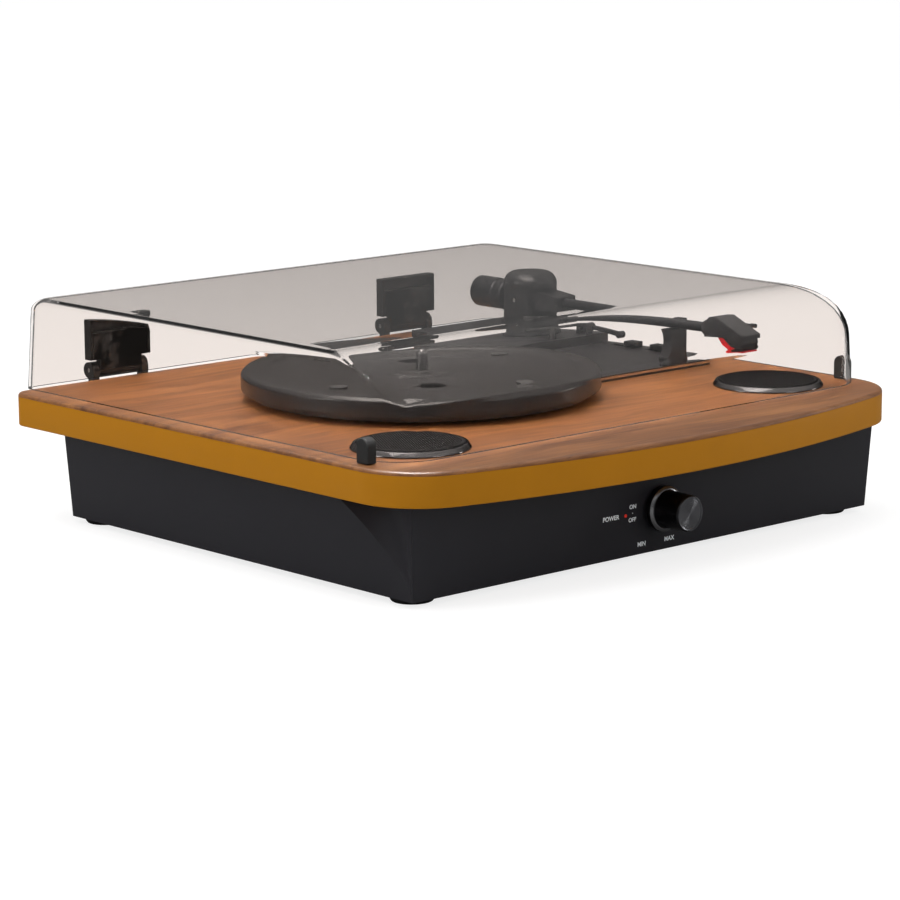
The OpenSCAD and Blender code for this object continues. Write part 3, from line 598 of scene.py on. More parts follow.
# %% Finishes for the parts that keep their shape
coat(cover_finish, "bottom_cover", "rear_panel", "power_inlet")
coat(gold_finish, "line_sockets")
coat(zinc_finish, "cover_screws", "board_screws", "hinge_screws", "hinge_pins", "volume_nut",
     "volume_control", "volume_shaft", "arm_tilt_pin", "drive_plate", "drive_plate_screws",
     "drive_motor", "motor_shaft")
coat(brass_finish, "spindle_bearing", "motor_pulley")
coat(board_green, "amplifier_board")
coat(part_grey, "amplifier_parts")
coat(rubber_finish, "drive_belt")


# %% [markdown]
# The feet are moulded rubber buttons with a thin ring to stand on. A cylinder would look sharp
# and dead, so each is a lathe with a small hollow beneath and a rounded shoulder.

# %% Rubber feet
FOOT_HEIGHT = 0.004


def make_foot(name):
    low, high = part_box(name)
    centre = Vector(((low.x + high.x) / 2, (low.y + high.y) / 2, low.z))
    radius, height = (high.x - low.x) / 2, FOOT_HEIGHT
    profile = rounded([(0, 0.0004), (radius * 0.55, 0.0004), (radius * 0.6, 0), (radius - 0.0012, 0),
                       (radius, height * 0.4), (radius, height), (0, height)], 0.0006)
    foot = lathe(name + "_rubber", profile, centre, steps=48)
    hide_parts(name)
    return dress(foot, rubber_finish, "base")


for foot_name in ("foot_front_left", "foot_front_right", "foot_rear_left", "foot_rear_right"):
    print("foot:", make_foot(foot_name).name)


# %% [markdown]
# ## The platter
# The platter was turned on a lathe, so it is a lathe here too: a raised rim, a broad recess where
# the record's playing area lies, a dish in the middle and a small hub plate. A real corner has a
# radius of half a millimetre or so, and *rounded* puts one on every corner of the profile. The
# two finger holes are off the axis, so they are cut afterwards. The spindle is a lathe too.

# %% Platter, pads and spindle
RIM_TOP = platter_high.z
PLATTER_RADIUS = (platter_high.x - platter_low.x) / 2
HUB_RADIUS = 0.014
DRIVE_RING = (0.066, 0.070)
FINGER_HOLE_RADIUS = 0.009
FINGER_HOLE_REACH = 0.052
FINGER_HOLE_ANGLES = (55, 235)


def make_platter():
    r, t = PLATTER_RADIUS, RIM_TOP
    ring_in, ring_out = DRIVE_RING
    under = [(0.0031, t - 0.012), (HUB_RADIUS, t - 0.012), (HUB_RADIUS, t - 0.005),
             (ring_in, t - 0.005), (ring_in, t - 0.013), (ring_out, t - 0.013), (ring_out, t - 0.005),
             (r - 0.010, t - 0.005), (r - 0.010, t - 0.015), (r - 0.005, t - 0.015),
             (r - 0.005, t - 0.0122), (r - 0.0008, t - 0.0122), (r, t - 0.011), (r, t - 0.0022)]
    top = [(r - 0.002, t), (r - 0.014, t), (r - 0.0155, t - 0.0014), (r - 0.047, t - 0.0014),
           (r - 0.049, t - 0.0024), (0.022, t - 0.0024), (0.020, t - 0.0012), (0.009, t - 0.0012),
           (0.0075, t - 0.0002), (0.0031, t - 0.0002)]
    disc = lathe("turned_platter", rounded(under + top, 0.0008, 4), disc_centre, steps=160, smooth_angle=50)
    hole = [(0, t - 0.02), (FINGER_HOLE_RADIUS, t - 0.02), (FINGER_HOLE_RADIUS, t + 0.01), (0, t + 0.01)]
    cutters = []
    for degrees in FINGER_HOLE_ANGLES:
        angle = math.radians(degrees)
        place = disc_centre + Vector((FINGER_HOLE_REACH * math.cos(angle),
                                      FINGER_HOLE_REACH * math.sin(angle), 0))
        cutters.append(lathe("finger_cutter", hole, place, steps=48))
    cut_away(disc, cutters, 50)
    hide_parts("platter")
    return dress(disc, platter_finish, "platter_body")


make_platter()
coat(rubber_finish, "platter_pads")


def make_spindle():
    low, high = spindle_low.z, spindle_high.z
    r = (spindle_high.x - spindle_low.x) / 2
    profile = [(0, low), (0.003, low), (0.003, RIM_TOP - 0.0002), (r, RIM_TOP - 0.0002), (r, high - 0.0036),
               (r - 0.0006, high - 0.0018), (r * 0.55, high - 0.0005), (0, high)]
    pin = lathe("turned_spindle", rounded(profile, 0.0008, 4), disc_centre, steps=40, smooth_angle=40)
    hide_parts("record_spindle")
    return dress(pin, steel_finish, "platter_body")


make_spindle()


# %% [markdown]
# ## Loudspeakers
# A glossy trim ring holds a round perforated grille. The holes are the kind of thing a person
# would never place by hand: a Geometry Nodes tree lays one small six-sided tile with a hole in
# it at every point of a honeycomb, and keeps those that lie inside the disc.

# %% One tile of perforated sheet
def make_tile(pitch, hole, thickness):
    """A hexagonal tile with a round hole, open at its outer sides, where its neighbours meet it."""
    bm = bmesh.new()
    steps = 12

    def hexagon(angle):
        within = (angle + math.pi / 6) % (math.pi / 3) - math.pi / 6
        return pitch / 2 / math.cos(within)

    angles = [math.tau * i / steps for i in range(steps)]
    outer = [bm.verts.new((hexagon(a) * math.cos(a), hexagon(a) * math.sin(a), 0)) for a in angles]
    inner = [bm.verts.new((hole / 2 * math.cos(a), hole / 2 * math.sin(a), 0)) for a in angles]
    deep = [bm.verts.new((hole / 2 * math.cos(a), hole / 2 * math.sin(a), -thickness)) for a in angles]
    for i in range(steps):
        j = (i + 1) % steps
        bm.faces.new((inner[i], outer[i], outer[j], inner[j]))
        bm.faces.new((deep[i], inner[i], inner[j], deep[j]))
    mesh = bpy.data.meshes.new("grille tile")
    bm.to_mesh(mesh)
    bm.free()
    return add_object("grille tile", mesh)


# %% The honeycomb tree
def build_honeycomb():
    tree = bpy.data.node_groups.new("honeycomb sheet", "GeometryNodeTree")
    face = tree.interface
    face.new_socket("Geometry", in_out="OUTPUT", socket_type="NodeSocketGeometry")
    sockets = {}
    for label, kind in (("Radius", "Float"), ("Pitch", "Float"), ("Rows", "Int"),
                        ("Centre", "Vector"), ("Tile", "Object"), ("Material", "Material")):
        sockets[label] = face.new_socket(label, in_out="INPUT", socket_type="NodeSocket" + kind).identifier
    gin, gout = node(tree, "NodeGroupInput"), node(tree, "NodeGroupOutput")
    link = tree.links.new
    grid = node(tree, "GeometryNodeMeshGrid")
    row_pitch = math_node(tree, "MULTIPLY", gin.outputs["Pitch"], math.sqrt(3) / 2)
    gaps = math_node(tree, "SUBTRACT", gin.outputs["Rows"], 1.0)
    link(math_node(tree, "MULTIPLY", gin.outputs["Pitch"], gaps), grid.inputs["Size X"])
    link(math_node(tree, "MULTIPLY", row_pitch, gaps), grid.inputs["Size Y"])
    link(gin.outputs["Rows"], grid.inputs["Vertices X"])
    link(gin.outputs["Rows"], grid.inputs["Vertices Y"])
    spot = node(tree, "GeometryNodeInputPosition")
    parts = node(tree, "ShaderNodeSeparateXYZ")
    link(spot.outputs[0], parts.inputs[0])
    row = math_node(tree, "DIVIDE", parts.outputs["Y"], row_pitch)
    row = math_node(tree, "ROUND", row, 0.0)
    odd = math_node(tree, "ABSOLUTE", math_node(tree, "MODULO", row, 2.0), 0.0)
    push = math_node(tree, "MULTIPLY", odd, gin.outputs["Pitch"])
    push = math_node(tree, "MULTIPLY", push, 0.5)
    step = node(tree, "ShaderNodeCombineXYZ")
    link(push, step.inputs["X"])
    shift = node(tree, "GeometryNodeSetPosition")
    link(grid.outputs["Mesh"], shift.inputs["Geometry"])
    link(step.outputs[0], shift.inputs["Offset"])
    spot_2 = node(tree, "GeometryNodeInputPosition")
    far = node(tree, "ShaderNodeVectorMath", operation="LENGTH")
    link(spot_2.outputs[0], far.inputs[0])
    outside = node(tree, "FunctionNodeCompare", operation="GREATER_THAN")
    link(far.outputs["Value"], outside.inputs["A"])
    link(gin.outputs["Radius"], outside.inputs["B"])
    trim = node(tree, "GeometryNodeDeleteGeometry")
    link(shift.outputs[0], trim.inputs["Geometry"])
    link(outside.outputs[0], trim.inputs["Selection"])
    tile = node(tree, "GeometryNodeObjectInfo")
    link(gin.outputs["Tile"], tile.inputs[0])
    place = node(tree, "GeometryNodeInstanceOnPoints")
    link(trim.outputs[0], place.inputs["Points"])
    link(tile.outputs["Geometry"], place.inputs["Instance"])
    solid = node(tree, "GeometryNodeRealizeInstances")
    link(place.outputs[0], solid.inputs[0])
    move = node(tree, "GeometryNodeTransform")
    link(solid.outputs[0], move.inputs["Geometry"])
    link(gin.outputs["Centre"], move.inputs["Translation"])
    paint = node(tree, "GeometryNodeSetMaterial")
    link(move.outputs[0], paint.inputs["Geometry"])
    link(gin.outputs["Material"], paint.inputs["Material"])
    link(paint.outputs[0], gout.inputs[0])
    return tree, sockets


HONEYCOMB, HONEYCOMB_SOCKETS = build_honeycomb()
GRILLE_PITCH, GRILLE_HOLE, GRILLE_SHEET = 0.0017, 0.0010, 0.0005
GRILLE_ROWS = 41
GRILLE_RIM = 0.0022
tile = make_tile(GRILLE_PITCH, GRILLE_HOLE, GRILLE_SHEET)


# %% Rings, grilles and cones
def make_grille(side):
    low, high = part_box("speaker_grille_" + side)
    centre = Vector(((low.x + high.x) / 2, (low.y + high.y) / 2, 0))
    radius = (high.x - low.x) / 2
    hole_edge, sheet_top = radius - GRILLE_RIM, high.z - 0.00015
    carrier = add_object("perforations_" + side, bpy.data.meshes.new("perforations_" + side))
    layer = carrier.modifiers.new("honeycomb", "NODES")
    layer.node_group = HONEYCOMB
    values = {"Radius": hole_edge + GRILLE_PITCH * 0.3, "Pitch": GRILLE_PITCH, "Rows": GRILLE_ROWS,
              "Centre": (centre.x, centre.y, sheet_top), "Tile": tile, "Material": grille_finish}
    for label, value in values.items():
        layer[HONEYCOMB_SOCKETS[label]] = value
    depsgraph = bpy.context.evaluated_depsgraph_get()
    mesh = bpy.data.meshes.new_from_object(carrier.evaluated_get(depsgraph))
    bpy.data.objects.remove(carrier)
    dress(add_object("perforated_sheet_" + side, mesh), grille_finish, "base")
    hoop = [(hole_edge, sheet_top - 0.0006), (hole_edge, high.z), (radius - 0.0006, high.z),
            (radius, high.z - 0.0008), (radius, low.z), (hole_edge, low.z)]
    edge = lathe("grille_edge_" + side, rounded(hoop, 0.0003, 3), centre, steps=96, smooth_angle=40)
    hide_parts("speaker_grille_" + side)
    dress(edge, grille_finish, "base")
    floor_z = low.z + 0.0006
    disc = [(0, floor_z - 0.0004), (hole_edge, floor_z - 0.0004), (hole_edge, floor_z), (0, floor_z)]
    back = lathe("grille_backing_" + side, disc, centre, steps=64)
    dress(back, cone_finish, "base")
    return len(mesh.polygons)


def make_ring(side):
    low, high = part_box("speaker_ring_" + side)
    centre = Vector(((low.x + high.x) / 2, (low.y + high.y) / 2, 0))
    r, top = (high.x - low.x) / 2, high.z
    wood = sheet_high.z
    profile = [(0.0295, low.z), (0.0307, low.z), (0.0307, wood), (r, wood), (r, wood + 0.0009),
               (r - 0.0019, top), (0.0316, top), (0.0316, wood + 0.0015), (0.0295, wood + 0.0015)]
    ring = lathe("trim_ring_" + side, rounded(profile, 0.0004, 4), centre, steps=128, smooth_angle=50)
    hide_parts("speaker_ring_" + side)
    return dress(ring, trim_finish, "base")


for side_name in ("left", "right"):
    print("grille faces:", make_grille(side_name))
    make_ring(side_name)
coat(cone_finish, "speaker_driver_left", "speaker_driver_right")
bpy.data.objects.remove(tile)


# %% [markdown]
# ## The tonearm
# The arm's pieces are small mouldings. Their shapes come from the model, and here each gets the
# broken edges that a mould gives it. The tube is straight, as in the model, and is swept anew
# as one smooth round rod, so that its highlight runs evenly from end to end.

# %% Deck, rest, yoke and head
for part, radius, finish, body, slot_name in (
        ("arm_deck", 0.0008, deck_finish, "base", "deck_plastic"),
        ("arm_pivot_base", 0.0006, arm_finish, "base", "arm_plastic"),
        ("arm_rest", 0.0009, arm_finish, "base", "arm_plastic"),
        ("cue_bar", 0.0005, rubber_finish, "cue_bar_body", "arm_plastic"),
        ("cue_lever", 0.0006, arm_finish, "cue_lever_body", "arm_plastic"),
        ("speed_slider", 0.0003, arm_finish, "speed_slider_body", "arm_plastic"),
        ("autostop_slider", 0.0003, arm_finish, "autostop_slider_body", "arm_plastic"),
        ("arm_yoke", 0.0006, arm_finish, "arm_turn_body", "arm_plastic"),
        ("arm_block", 0.0012, arm_finish, "arm_body", "arm_plastic"),
        ("headshell", 0.0008, arm_finish, "arm_body", "arm_plastic"),
        ("cartridge", 0.0007, arm_finish, "arm_body", "arm_plastic"),
        ("stylus", 0.0003, red_finish, "arm_body", "stylus_red")):
    dress(finished_part(part, radius), finish, body)
print("arm mouldings finished")


# %% Arm tube
TUBE_RINGS = 40


def swept_tube(name, points, radius, steps=24):
    """A round tube through the points, swept without twist in one plane."""
    rings = []
    for i, p in enumerate(points):
        before, after = points[max(i - 1, 0)], points[min(i + 1, len(points) - 1)]
        along = (after - before).normalized()
        across = Vector((1, 0, 0))
        up = across.cross(along).normalized()
        rings.append([p + radius * (math.cos(a) * across + math.sin(a) * up)
                      for a in (math.tau * k / steps for k in range(steps))])
    return loft(name, rings, 40)


def make_arm_tube():
    low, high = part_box("arm_tube")
    radius = (high.x - low.x) / 2
    x, z = (low.x + high.x) / 2, (low.z + high.z) / 2
    points = [Vector((x, high.y + (low.y - high.y) * i / TUBE_RINGS, z)) for i in range(TUBE_RINGS + 1)]
    tube = swept_tube("anodised_tube", points, radius)
    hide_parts("arm_tube")
    return dress(tube, dark_metal, "arm_body")


print("tube:", make_arm_tube().name)


# %% [markdown]
# The counterweight is a turned metal drum with a narrow groove near its front and a shallow
# recess in its rear face. It could be three cylinders, but one lathe keeps its edges together.

# %% Counterweight
def make_counterweight():
    low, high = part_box("counterweight")
    r = (high.x - low.x) / 2
    centre = Vector(((low.x + high.x) / 2, low.y, (low.z + high.z) / 2))
    length = high.y - low.y
    profile = rounded([(0.004, 0), (r - 0.001, 0), (r, 0.001), (r, 0.007), (r - 0.0006, 0.0075),
                       (r - 0.0006, 0.009), (r, 0.0095), (r, length - 0.001), (r - 0.001, length),
                       (r * 0.62, length),
                       (r * 0.6, length - 0.0006), (0.004, length - 0.0006)], 0.0004, 3)
    weight = lathe("turned_counterweight", profile, centre, axis="Y", steps=64, smooth_angle=45)
    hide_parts("counterweight")
    return dress(weight, dark_metal, "arm_body")


print("counterweight:", make_counterweight().name)


# %% [markdown]
# ## The lid
# The lid is one moulded sheet of smoky acrylic, 2.5 mm thick. Its sides lean in a little, its
# front is a low wall that turns back into a long curve, and its front corners are round in plan
# until that curve cuts through them. Each level is worked out as three limits met together,
# and then its corners are eased by a running average along the outline, as polishing would do.
# Each skin ends in two flat rings inside its top edge, so that the flat top shades as flat.

# %% Lid levels
lid_low, lid_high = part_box("lid")
LID_SHEET = 0.0025
LID_DRAFT = 0.004
LID_CORNER = 0.034
LID_EDGE = 0.008
CURVE_RADIUS = 0.086
CURVE_START_Y = -0.093
CURVE_END = math.radians(134)
BROW_DROP = 0.004
BROW_SETBACK = 0.0025
EASE = 0.0024
LEVEL_POINTS = 520
CAP_RINGS = (0.97, 0.9)
brow_y = CURVE_START_Y + CURVE_RADIUS * math.cos(CURVE_END)
brow_z = lid_high.z - CURVE_RADIUS + CURVE_RADIUS * math.sin(CURVE_END)


def front_at(z, inset):
    """How far forward the lid's front comes at height z."""
    centre_z = lid_high.z - CURVE_RADIUS
    radius = CURVE_RADIUS - inset
    end_z = centre_z + radius * math.sin(CURVE_END)
    if z > end_z:
        return CURVE_START_Y - math.sqrt(max(radius ** 2 - (z - centre_z) ** 2, 0))
    knee_z = brow_z - BROW_DROP
    knee_y, end_y = brow_y - BROW_SETBACK + inset, CURVE_START_Y + radius * math.cos(CURVE_END)
    if z > knee_z:
        t = (z - knee_z) / max(end_z - knee_z, 1e-9)
        return knee_y + (end_y - knee_y) * t
    t = (z - lid_low.z) / (knee_z - lid_low.z)
    return lid_low.y + inset + (knee_y - lid_low.y - inset) * t


def half_width_at(z, inset):
    """Half of the lid's width at height z: leaning sides, then a rounded top edge."""
    shoulder = lid_high.z - LID_EDGE
    if z < shoulder:
        return lid_high.x - inset - LID_DRAFT * (z - lid_low.z) / (shoulder - lid_low.z)
    radius = LID_EDGE - inset
    rise = min(z - shoulder, radius)
    return lid_high.x - LID_DRAFT - LID_EDGE + math.sqrt(max(radius ** 2 - rise ** 2, 0))


def rear_at(z, inset):
    shoulder = lid_high.z - LID_EDGE
    if z < shoulder:
        return lid_high.y - inset
    radius = LID_EDGE - inset
    rise = min(z - shoulder, radius)
    return lid_high.y - LID_EDGE + math.sqrt(max(radius ** 2 - rise ** 2, 0))


def eased(points, reach):
    """Evenly spaced points round a closed outline, each averaged with its neighbours within reach."""
    n = len(points)
    lengths = [(points[(i + 1) % n] - points[i]).length for i in range(n)]
    total = sum(lengths)
    spaced, i, run = [], 0, 0.0
    for k in range(LEVEL_POINTS):
        target = total * k / LEVEL_POINTS
        while run + lengths[i] < target:
            run += lengths[i]
            i += 1
        spaced.append(points[i].lerp(points[(i + 1) % n], (target - run) / lengths[i]))
    span = max(1, round(reach / (total / LEVEL_POINTS)))
    weights = [math.cos(math.pi / 2 * k / (span + 1)) ** 2 for k in range(-span, span + 1)]
    whole = sum(weights)
    near = list(zip(range(-span, span + 1), weights))
    return [sum((w * spaced[(k + d) % LEVEL_POINTS] for d, w in near), Vector((0, 0))) / whole
            for k in range(LEVEL_POINTS)]


def lid_level(z, inset):
    """The lid's outline at height z, from the middle of the rear."""
    front, rear, half = front_at(z, inset), rear_at(z, inset), half_width_at(z, inset)
    plan_radius, rear_radius = LID_CORNER - inset, LID_EDGE - inset
    centre_y = lid_low.y + LID_CORNER
    corner = [(x, y) for x, y in arc(half - plan_radius, centre_y, plan_radius, 0, -math.pi / 2, 40)
              if y > front]
    if front > centre_y:
        corner = [(half, front)]
    else:
        drop = min(centre_y - front, plan_radius)
        corner.append((half - plan_radius + math.sqrt(max(plan_radius ** 2 - drop ** 2, 0)), front))
    rear_corner = arc(half - rear_radius, rear - rear_radius, rear_radius, math.pi / 2, 0, 8)
    right = [(0, rear)] + rear_corner + corner + [(0, front)]
    left = [(-x, y) for x, y in reversed(right[1:-1])]
    outline = [Vector(p) for p in right + left]
    return [Vector((p.x, p.y, z)) for p in eased(outline, EASE)]


def lid_heights(inset):
    """Heights of the levels: few up the walls, many round the knee and over the curve."""
    top = lid_high.z - inset
    knee = brow_z - BROW_DROP
    walls = [lid_low.z + (knee - 0.003 - lid_low.z) * i / 10 for i in range(11)]
    bend = [knee - 0.003 + 0.009 * i / 12 for i in range(1, 13)]
    start = bend[-1]
    curve = [start + (top - start) * math.sin(math.pi / 2 * i / 26) for i in range(1, 27)]
    return walls + bend + curve


def make_lid():
    outer, inner = ([lid_level(z, inset) for z in lid_heights(inset)] for inset in (0.0, LID_SHEET))
    middle = Vector((0, CURVE_START_Y + 0.14, 0))
    for rings in (outer, inner):
        for share in CAP_RINGS:
            rings.append([Vector((middle.x + (p.x - middle.x) * share,
                                  middle.y + (p.y - middle.y) * share, p.z)) for p in rings[-1]])
    bm = bmesh.new()
    skins = []
    for rings in (outer, inner):
        loops = [[bm.verts.new(p) for p in ring] for ring in rings]
        skins.append(loops)
        for low, high in zip(loops, loops[1:]):
            for i in range(LEVEL_POINTS):
                j = (i + 1) % LEVEL_POINTS
                bm.faces.new((low[i], low[j], high[j], high[i]))
        bm.faces.new(loops[-1])
    for i in range(LEVEL_POINTS):
        j = (i + 1) % LEVEL_POINTS
        bm.faces.new((skins[0][0][j], skins[0][0][i], skins[1][0][i], skins[1][0][j]))
    bmesh.ops.recalc_face_normals(bm, faces=bm.faces)
    lid = new_object("moulded_lid", bm, 60)
    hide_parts("lid")
    return dress(lid, acrylic_finish, "lid_body")


lid_piece = make_lid()
print("lid faces:", len(lid_piece.data.polygons))


# %% [markdown]
# A rubber clip near each front corner cushions the lid where it comes down on the board. It is a
# flat strap with a round end, so its side outline is simply given a thickness. The friction
# hinges are plain mouldings, and they take the model's shape with their edges broken.

# %% Rubber clips and hinges
CLIP_DEPTH = 0.0072


def make_clip(side, sign):
    low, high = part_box("lid_bumpers")
    y, half = (low.y + high.y) / 2, (high.y - low.y) / 2
    outline = [(y - half, low.z), (y + half, low.z), (y + half, high.z - half)]
    outline += arc(y, high.z - half, half, 0, math.pi, 14)[1:]
    outer_x = high.x * sign
    slab = [[Vector((x, *p)) for p in outline] for x in sorted((outer_x, outer_x - sign * CLIP_DEPTH))]
    clip = soften(loft("rubber_clip_" + side, slab, 30), 0.0009)
    return dress(clip, rubber_finish, "lid_body")


clips = [make_clip("left", -1), make_clip("right", 1)]
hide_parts("lid_bumpers")
hinge_finish = plastic("satin hinge plastic", (0.01, 0.01, 0.01), 0.35, 0.45)
dress(finished_part("lid_pockets", 0.0005), hinge_finish, "lid_body")
for side_name in ("left", "right"):
    dress(finished_part("hinge_base_" + side_name, 0.0006), hinge_finish, "base")
    dress(finished_part("hinge_tongue_" + side_name, 0.0006), hinge_finish, "lid_body")
print("clips and hinges:", len(clips), "clips, 2 hinges")


# %% [markdown]
# ## The controls
# The knob is turned aluminium, dyed black: a flange, a polished chamfer, a plain barrel and a
# face with rings spun in it. The chamfer's metal is lighter than the rest, a painted highlight
# where the flange catches the light. The rings are real waves in the lathe's profile, four
# points to each, because a bump alone leaves the exported shape flat. Each zone has its own
# metal.

# %% Volume knob
SPUN_RINGS = 8
SPUN_DEPTH = 0.00014


def make_knob():
    back = knob_high.y
    length = back - knob_low.y
    flange = (knob_high.x - knob_low.x) / 2
    r = flange - 0.0025
    centre = Vector((knob_centre.x, back, knob_centre.z))
    face_radius, waves = r - 0.0019, SPUN_RINGS * 4
    spun = [(face_radius * (1 - k / waves), length - 0.0003 - SPUN_DEPTH / 2 * (1 - math.cos(math.pi / 2 * k)))
            for k in range(1, waves)]
    profile = [(0.0065, 0.0003), (flange - 0.0004, 0.0003), (flange, 0.0008), (flange, 0.0034),
               (flange - 0.0003, 0.0037), (flange - 0.0017, 0.0046), (r + 0.0002, 0.0047),
               (r, 0.0052), (r - 0.0004, length - 0.0012),
               (r - 0.0013, length), (r - 0.0019, length - 0.0002), (0, length - 0.0003)]
    barrel = rounded([(0, 0.004), (0.0065, 0.004)] + profile, 0.00025, 3)
    knob = lathe("turned_knob", barrel[:-1] + spun + barrel[-1:], centre, axis="-Y", steps=96, smooth_angle=40)
    # The third metal is lighter than the barrel's only to paint the highlight on the chamfer.
    for finish in (dark_metal, spun_finish, metal("chamfer lightened as painted highlight", (0.32, 0.32, 0.33), 0.2)):
        knob.data.materials.append(finish)
    face_y = back - length + 0.0012
    for face in knob.data.polygons:
        reach = math.hypot(face.center.x - centre.x, face.center.z - centre.z)
        if face.center.y < face_y and reach < r - 0.0012:
            face.material_index = 1
        # The chamfer's faces take the lighter metal: a painted highlight where the flange catches the light.
        elif back - 0.0047 < face.center.y < back - 0.0036:
            face.material_index = 2
    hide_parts("volume_knob")
    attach(knob, "knob_body")
    return knob


print("knob faces:", len(make_knob().data.polygons))


# %% [markdown]
# The power light is a small domed lens that glows faintly. A lamp behind it could do that, but a
# little emission in the lens's own material does it with nothing extra in the scene.

# %% Power light
def make_light():
    low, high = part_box("power_led")
    centre = Vector(((low.x + high.x) / 2, low.y, (low.z + high.z) / 2))
    r = 0.00115
    profile = [(0, 0.006), (r, 0.006), (r, 0.0012), (r * 0.86, 0.0005), (r * 0.5, 0.0001), (0, 0)]
    lens = lathe("light_lens", profile, centre, axis="Y", steps=32)
    glow = fed_material("red light", GRAIN, {"Colour": (0.45, 0.02, 0.015, 1), "Roughness": 0.2},
                        {"Emission Color": (0.8, 0.05, 0.03, 1), "Emission Strength": 0.25},
                        ("Colour", "Roughness"))
    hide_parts("power_led")
    return dress(lens, glow, "base")


print("light:", make_light().name)


# %% [markdown]
# The words are only what the switch and the knob do. Print is a skin of ink, so each word is text
# with hardly any thickness, made a mesh and laid on the leaning front of the case.

# %% Printed words
WORD_LIFT = 0.00006
WORD_THICKNESS = 0.00004
lean = math.atan2(CASE_DRAFT, case_height)


def print_word(name, text, x, z, height):
    """Sets a word on the leaning front face, centred at x and z."""
    curve = bpy.data.curves.new(name, "FONT")
    curve.body = text
    curve.size = height / 0.72
    curve.align_x = "CENTER"
    curve.align_y = "CENTER"
    curve.extrude = WORD_THICKNESS
    curve.offset = height * 0.03
    temporary = add_object(name, curve)
    mesh = bpy.data.meshes.new_from_object(temporary.evaluated_get(bpy.context.evaluated_depsgraph_get()))
    bpy.data.objects.remove(temporary)
    front_y = case_low.y + CASE_DRAFT * (1 - (z - case_low.z) / case_height)
    upright = Matrix.Rotation(math.pi / 2 + lean, 4, "X")
    mesh.transform(Matrix.Translation((x, front_y - WORD_LIFT, z)) @ upright)
    return dress(add_object(name, mesh), label_finish, "base")


for word_name, text, x, z, height in (
        ("word_between", ".", -0.0188, 0.0312, 0.0028), ("word_power", "POWER", -0.0368, 0.0295, 0.0028),
        ("word_on", "ON", -0.0188, 0.0342, 0.0026), ("word_off", "OFF", -0.0188, 0.0262, 0.0026),
        ("word_min", "MIN", -0.0100, 0.0100, 0.0028), ("word_max", "MAX", 0.0135, 0.0100, 0.0028)):
    print("word:", print_word(word_name, text, x, z, height).name)


# %% [markdown]
# ## Light and camera
# The floor and the sky look white where they are seen directly, but are dim to rays that have
# already bounced: the clear lid would else mirror a white room and hide the dark things below.

# %% Floor and world
def make_floor():
    bm = bmesh.new()
    bmesh.ops.create_grid(bm, x_segments=1, y_segments=1, size=6.0)
    floor = new_object("studio_floor", bm)
    mat, tree, shader = blank_material("pale floor", {
        "Roughness": 0.9, "Specular IOR Level": 0.1, "Emission Color": (1, 1, 1, 1)})
    place = node(tree, "ShaderNodeTexCoord").outputs["Object"]
    soft = noise(tree, place, 3.0, 2.0, 0.5)
    ray = node(tree, "ShaderNodeLightPath")
    mirrored = math_node(tree, "GREATER_THAN", ray.outputs["Glossy Depth"], 0.5)
    bounced = math_node(tree, "ADD", ray.outputs["Glossy Depth"], ray.outputs["Diffuse Depth"])
    direct = math_node(tree, "LESS_THAN", bounced, 0.5)
    level = math_node(tree, "ADD", math_node(tree, "MULTIPLY", soft, 0.02), 0.62)
    for mask, drop in ((mirrored, 0.4), (direct, 0.32)):
        level = math_node(tree, "SUBTRACT", level, math_node(tree, "MULTIPLY", mask, drop))
    tree.links.new(level, shader.inputs["Base Color"])
    tree.links.new(math_node(tree, "MULTIPLY", direct, 0.78), shader.inputs["Emission Strength"])
    floor.data.materials.append(mat)


make_floor()

world = bpy.data.worlds.new("studio")
bpy.context.scene.world = world
world.use_nodes = True
sky = world.node_tree
backdrop = sky.nodes["Background"]
backdrop.inputs["Color"].default_value = (1.0, 1.0, 1.0, 1)
backdrop.inputs["Strength"].default_value = 1.05
room = node(sky, "ShaderNodeBackground")
ray = node(sky, "ShaderNodeLightPath")
bounced = math_node(sky, "ADD", ray.outputs["Glossy Depth"], ray.outputs["Diffuse Depth"])
seen = math_node(sky, "LESS_THAN", bounced, 0.5)
aim = node(sky, "ShaderNodeSeparateXYZ")
sky.links.new(node(sky, "ShaderNodeTexCoord").outputs["Generated"], aim.inputs[0])
rise = node(sky, "ShaderNodeMapRange", interpolation_type="SMOOTHSTEP")
for label, value in (("From Min", 0.15), ("From Max", 0.9), ("To Min", 0.15), ("To Max", 1.1)):
    rise.inputs[label].default_value = value
sky.links.new(aim.outputs["Z"], rise.inputs["Value"])
sky.links.new(rise.outputs[0], room.inputs["Strength"])
pick = node(sky, "ShaderNodeMixShader")
sky.links.new(seen, pick.inputs[0])
sky.links.new(room.outputs[0], pick.inputs[1])
sky.links.new(backdrop.outputs[0], pick.inputs[2])
sky.links.new(pick.outputs[0], sky.nodes["World Output"].inputs["Surface"])


# %% [markdown]
# Five soft panels light the scene: a broad one overhead, a bright one that is seen only in
# reflections and draws the lines along the lid's edges, a slim one at the right, and two fills at
# the front and left that light things but leave no reflection.

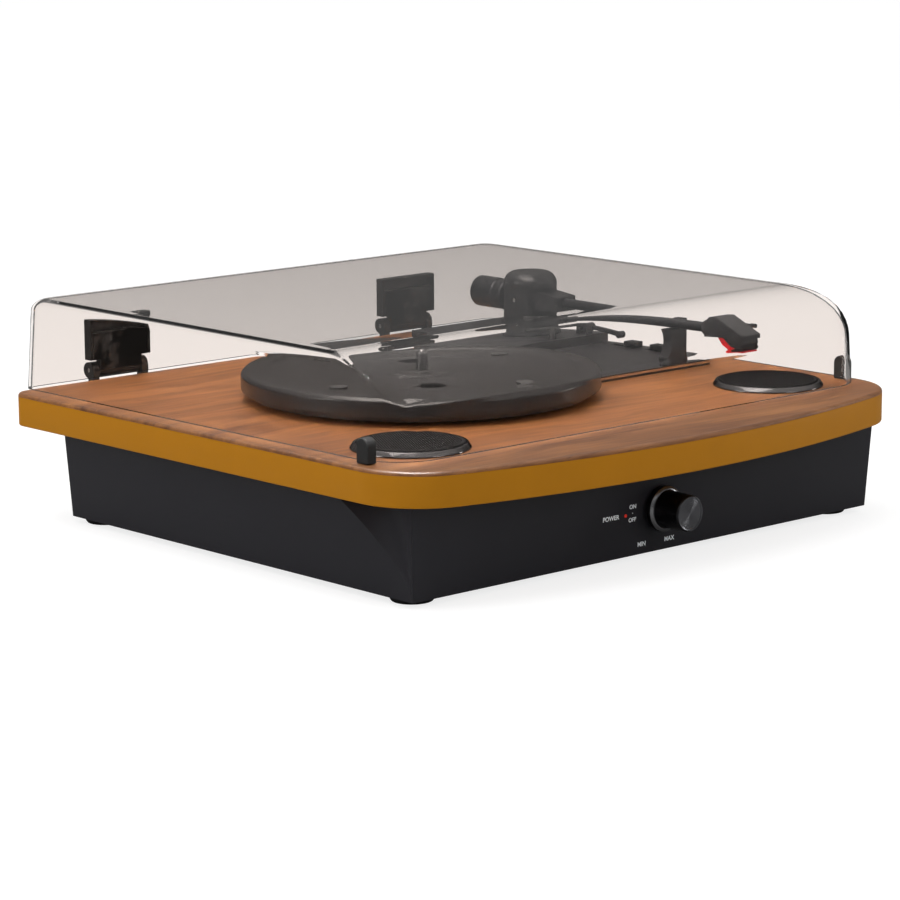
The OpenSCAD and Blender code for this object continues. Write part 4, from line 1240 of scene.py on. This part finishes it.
# %% Lights
def soft_light(name, place, target, size, power, shine=True, fill=True):
    lamp = bpy.data.lights.new(name, "AREA")
    lamp.shape = "RECTANGLE"
    lamp.size, lamp.size_y = size
    lamp.energy = power
    obj = add_object(name, lamp)
    obj.location = place
    obj.rotation_euler = (Vector(target) - Vector(place)).to_track_quat("-Z", "Y").to_euler()
    obj.visible_diffuse = obj.visible_transmission = fill
    obj.visible_glossy = shine
    return obj


soft_light("overhead", (-0.3, 0.2, 1.7), (0, 0, 0.1), (1.6, 1.2), 14)
soft_light("edge shine", (-0.5, -0.2, 1.25), (-0.1, -0.1, 0.1), (0.8, 0.3), 85, fill=False)
soft_light("side panel", (1.5, -0.85, 0.28), (0, -0.19, 0.03), (0.25, 0.5), 3)
soft_light("front fill", (0.3, -1.9, 0.7), (0, 0, 0.08), (0.8, 0.6), 5, shine=False)
soft_light("left fill", (-1.7, 0.5, 0.6), (0, 0, 0.08), (0.7, 0.7), 9, shine=False)
print("lights:", len(bpy.data.lights))


# %% [markdown]
# The camera stands to the front left, a little above the lid, with a long lens for a gentle
# perspective. Its aim is given by a heading, a dip below the horizon and a slight roll.

# %% Camera
CAMERA_PLACE = Vector((-1.39056, -1.52156, 0.44435))
CAMERA_HEADING = 0.73513
CAMERA_DIP = 0.19242
CAMERA_ROLL = -0.00596
CAMERA_LENS = 132.94


def make_camera():
    lens = bpy.data.cameras.new("camera")
    lens.sensor_width = 36
    lens.lens = CAMERA_LENS
    lens.clip_start = 0.05
    camera = add_object("camera", lens)
    ahead = Vector((math.sin(CAMERA_HEADING) * math.cos(CAMERA_DIP),
                    math.cos(CAMERA_HEADING) * math.cos(CAMERA_DIP), -math.sin(CAMERA_DIP)))
    level = Vector((math.cos(CAMERA_HEADING), -math.sin(CAMERA_HEADING), 0))
    above = level.cross(ahead)
    right = level * math.cos(CAMERA_ROLL) + above * math.sin(CAMERA_ROLL)
    up = above * math.cos(CAMERA_ROLL) - level * math.sin(CAMERA_ROLL)
    turn = Matrix((right, up, -ahead)).transposed()
    camera.matrix_world = Matrix.Translation(CAMERA_PLACE) @ turn.to_4x4()
    bpy.context.scene.camera = camera


make_camera()
print("camera:", CAMERA_LENS, "mm lens")
bpy.context.scene.view_settings.view_transform = "Standard"
bpy.context.scene.cycles.max_bounces = 16
bpy.context.scene.cycles.transmission_bounces = 12
bpy.context.scene.cycles.transparent_max_bounces = 16
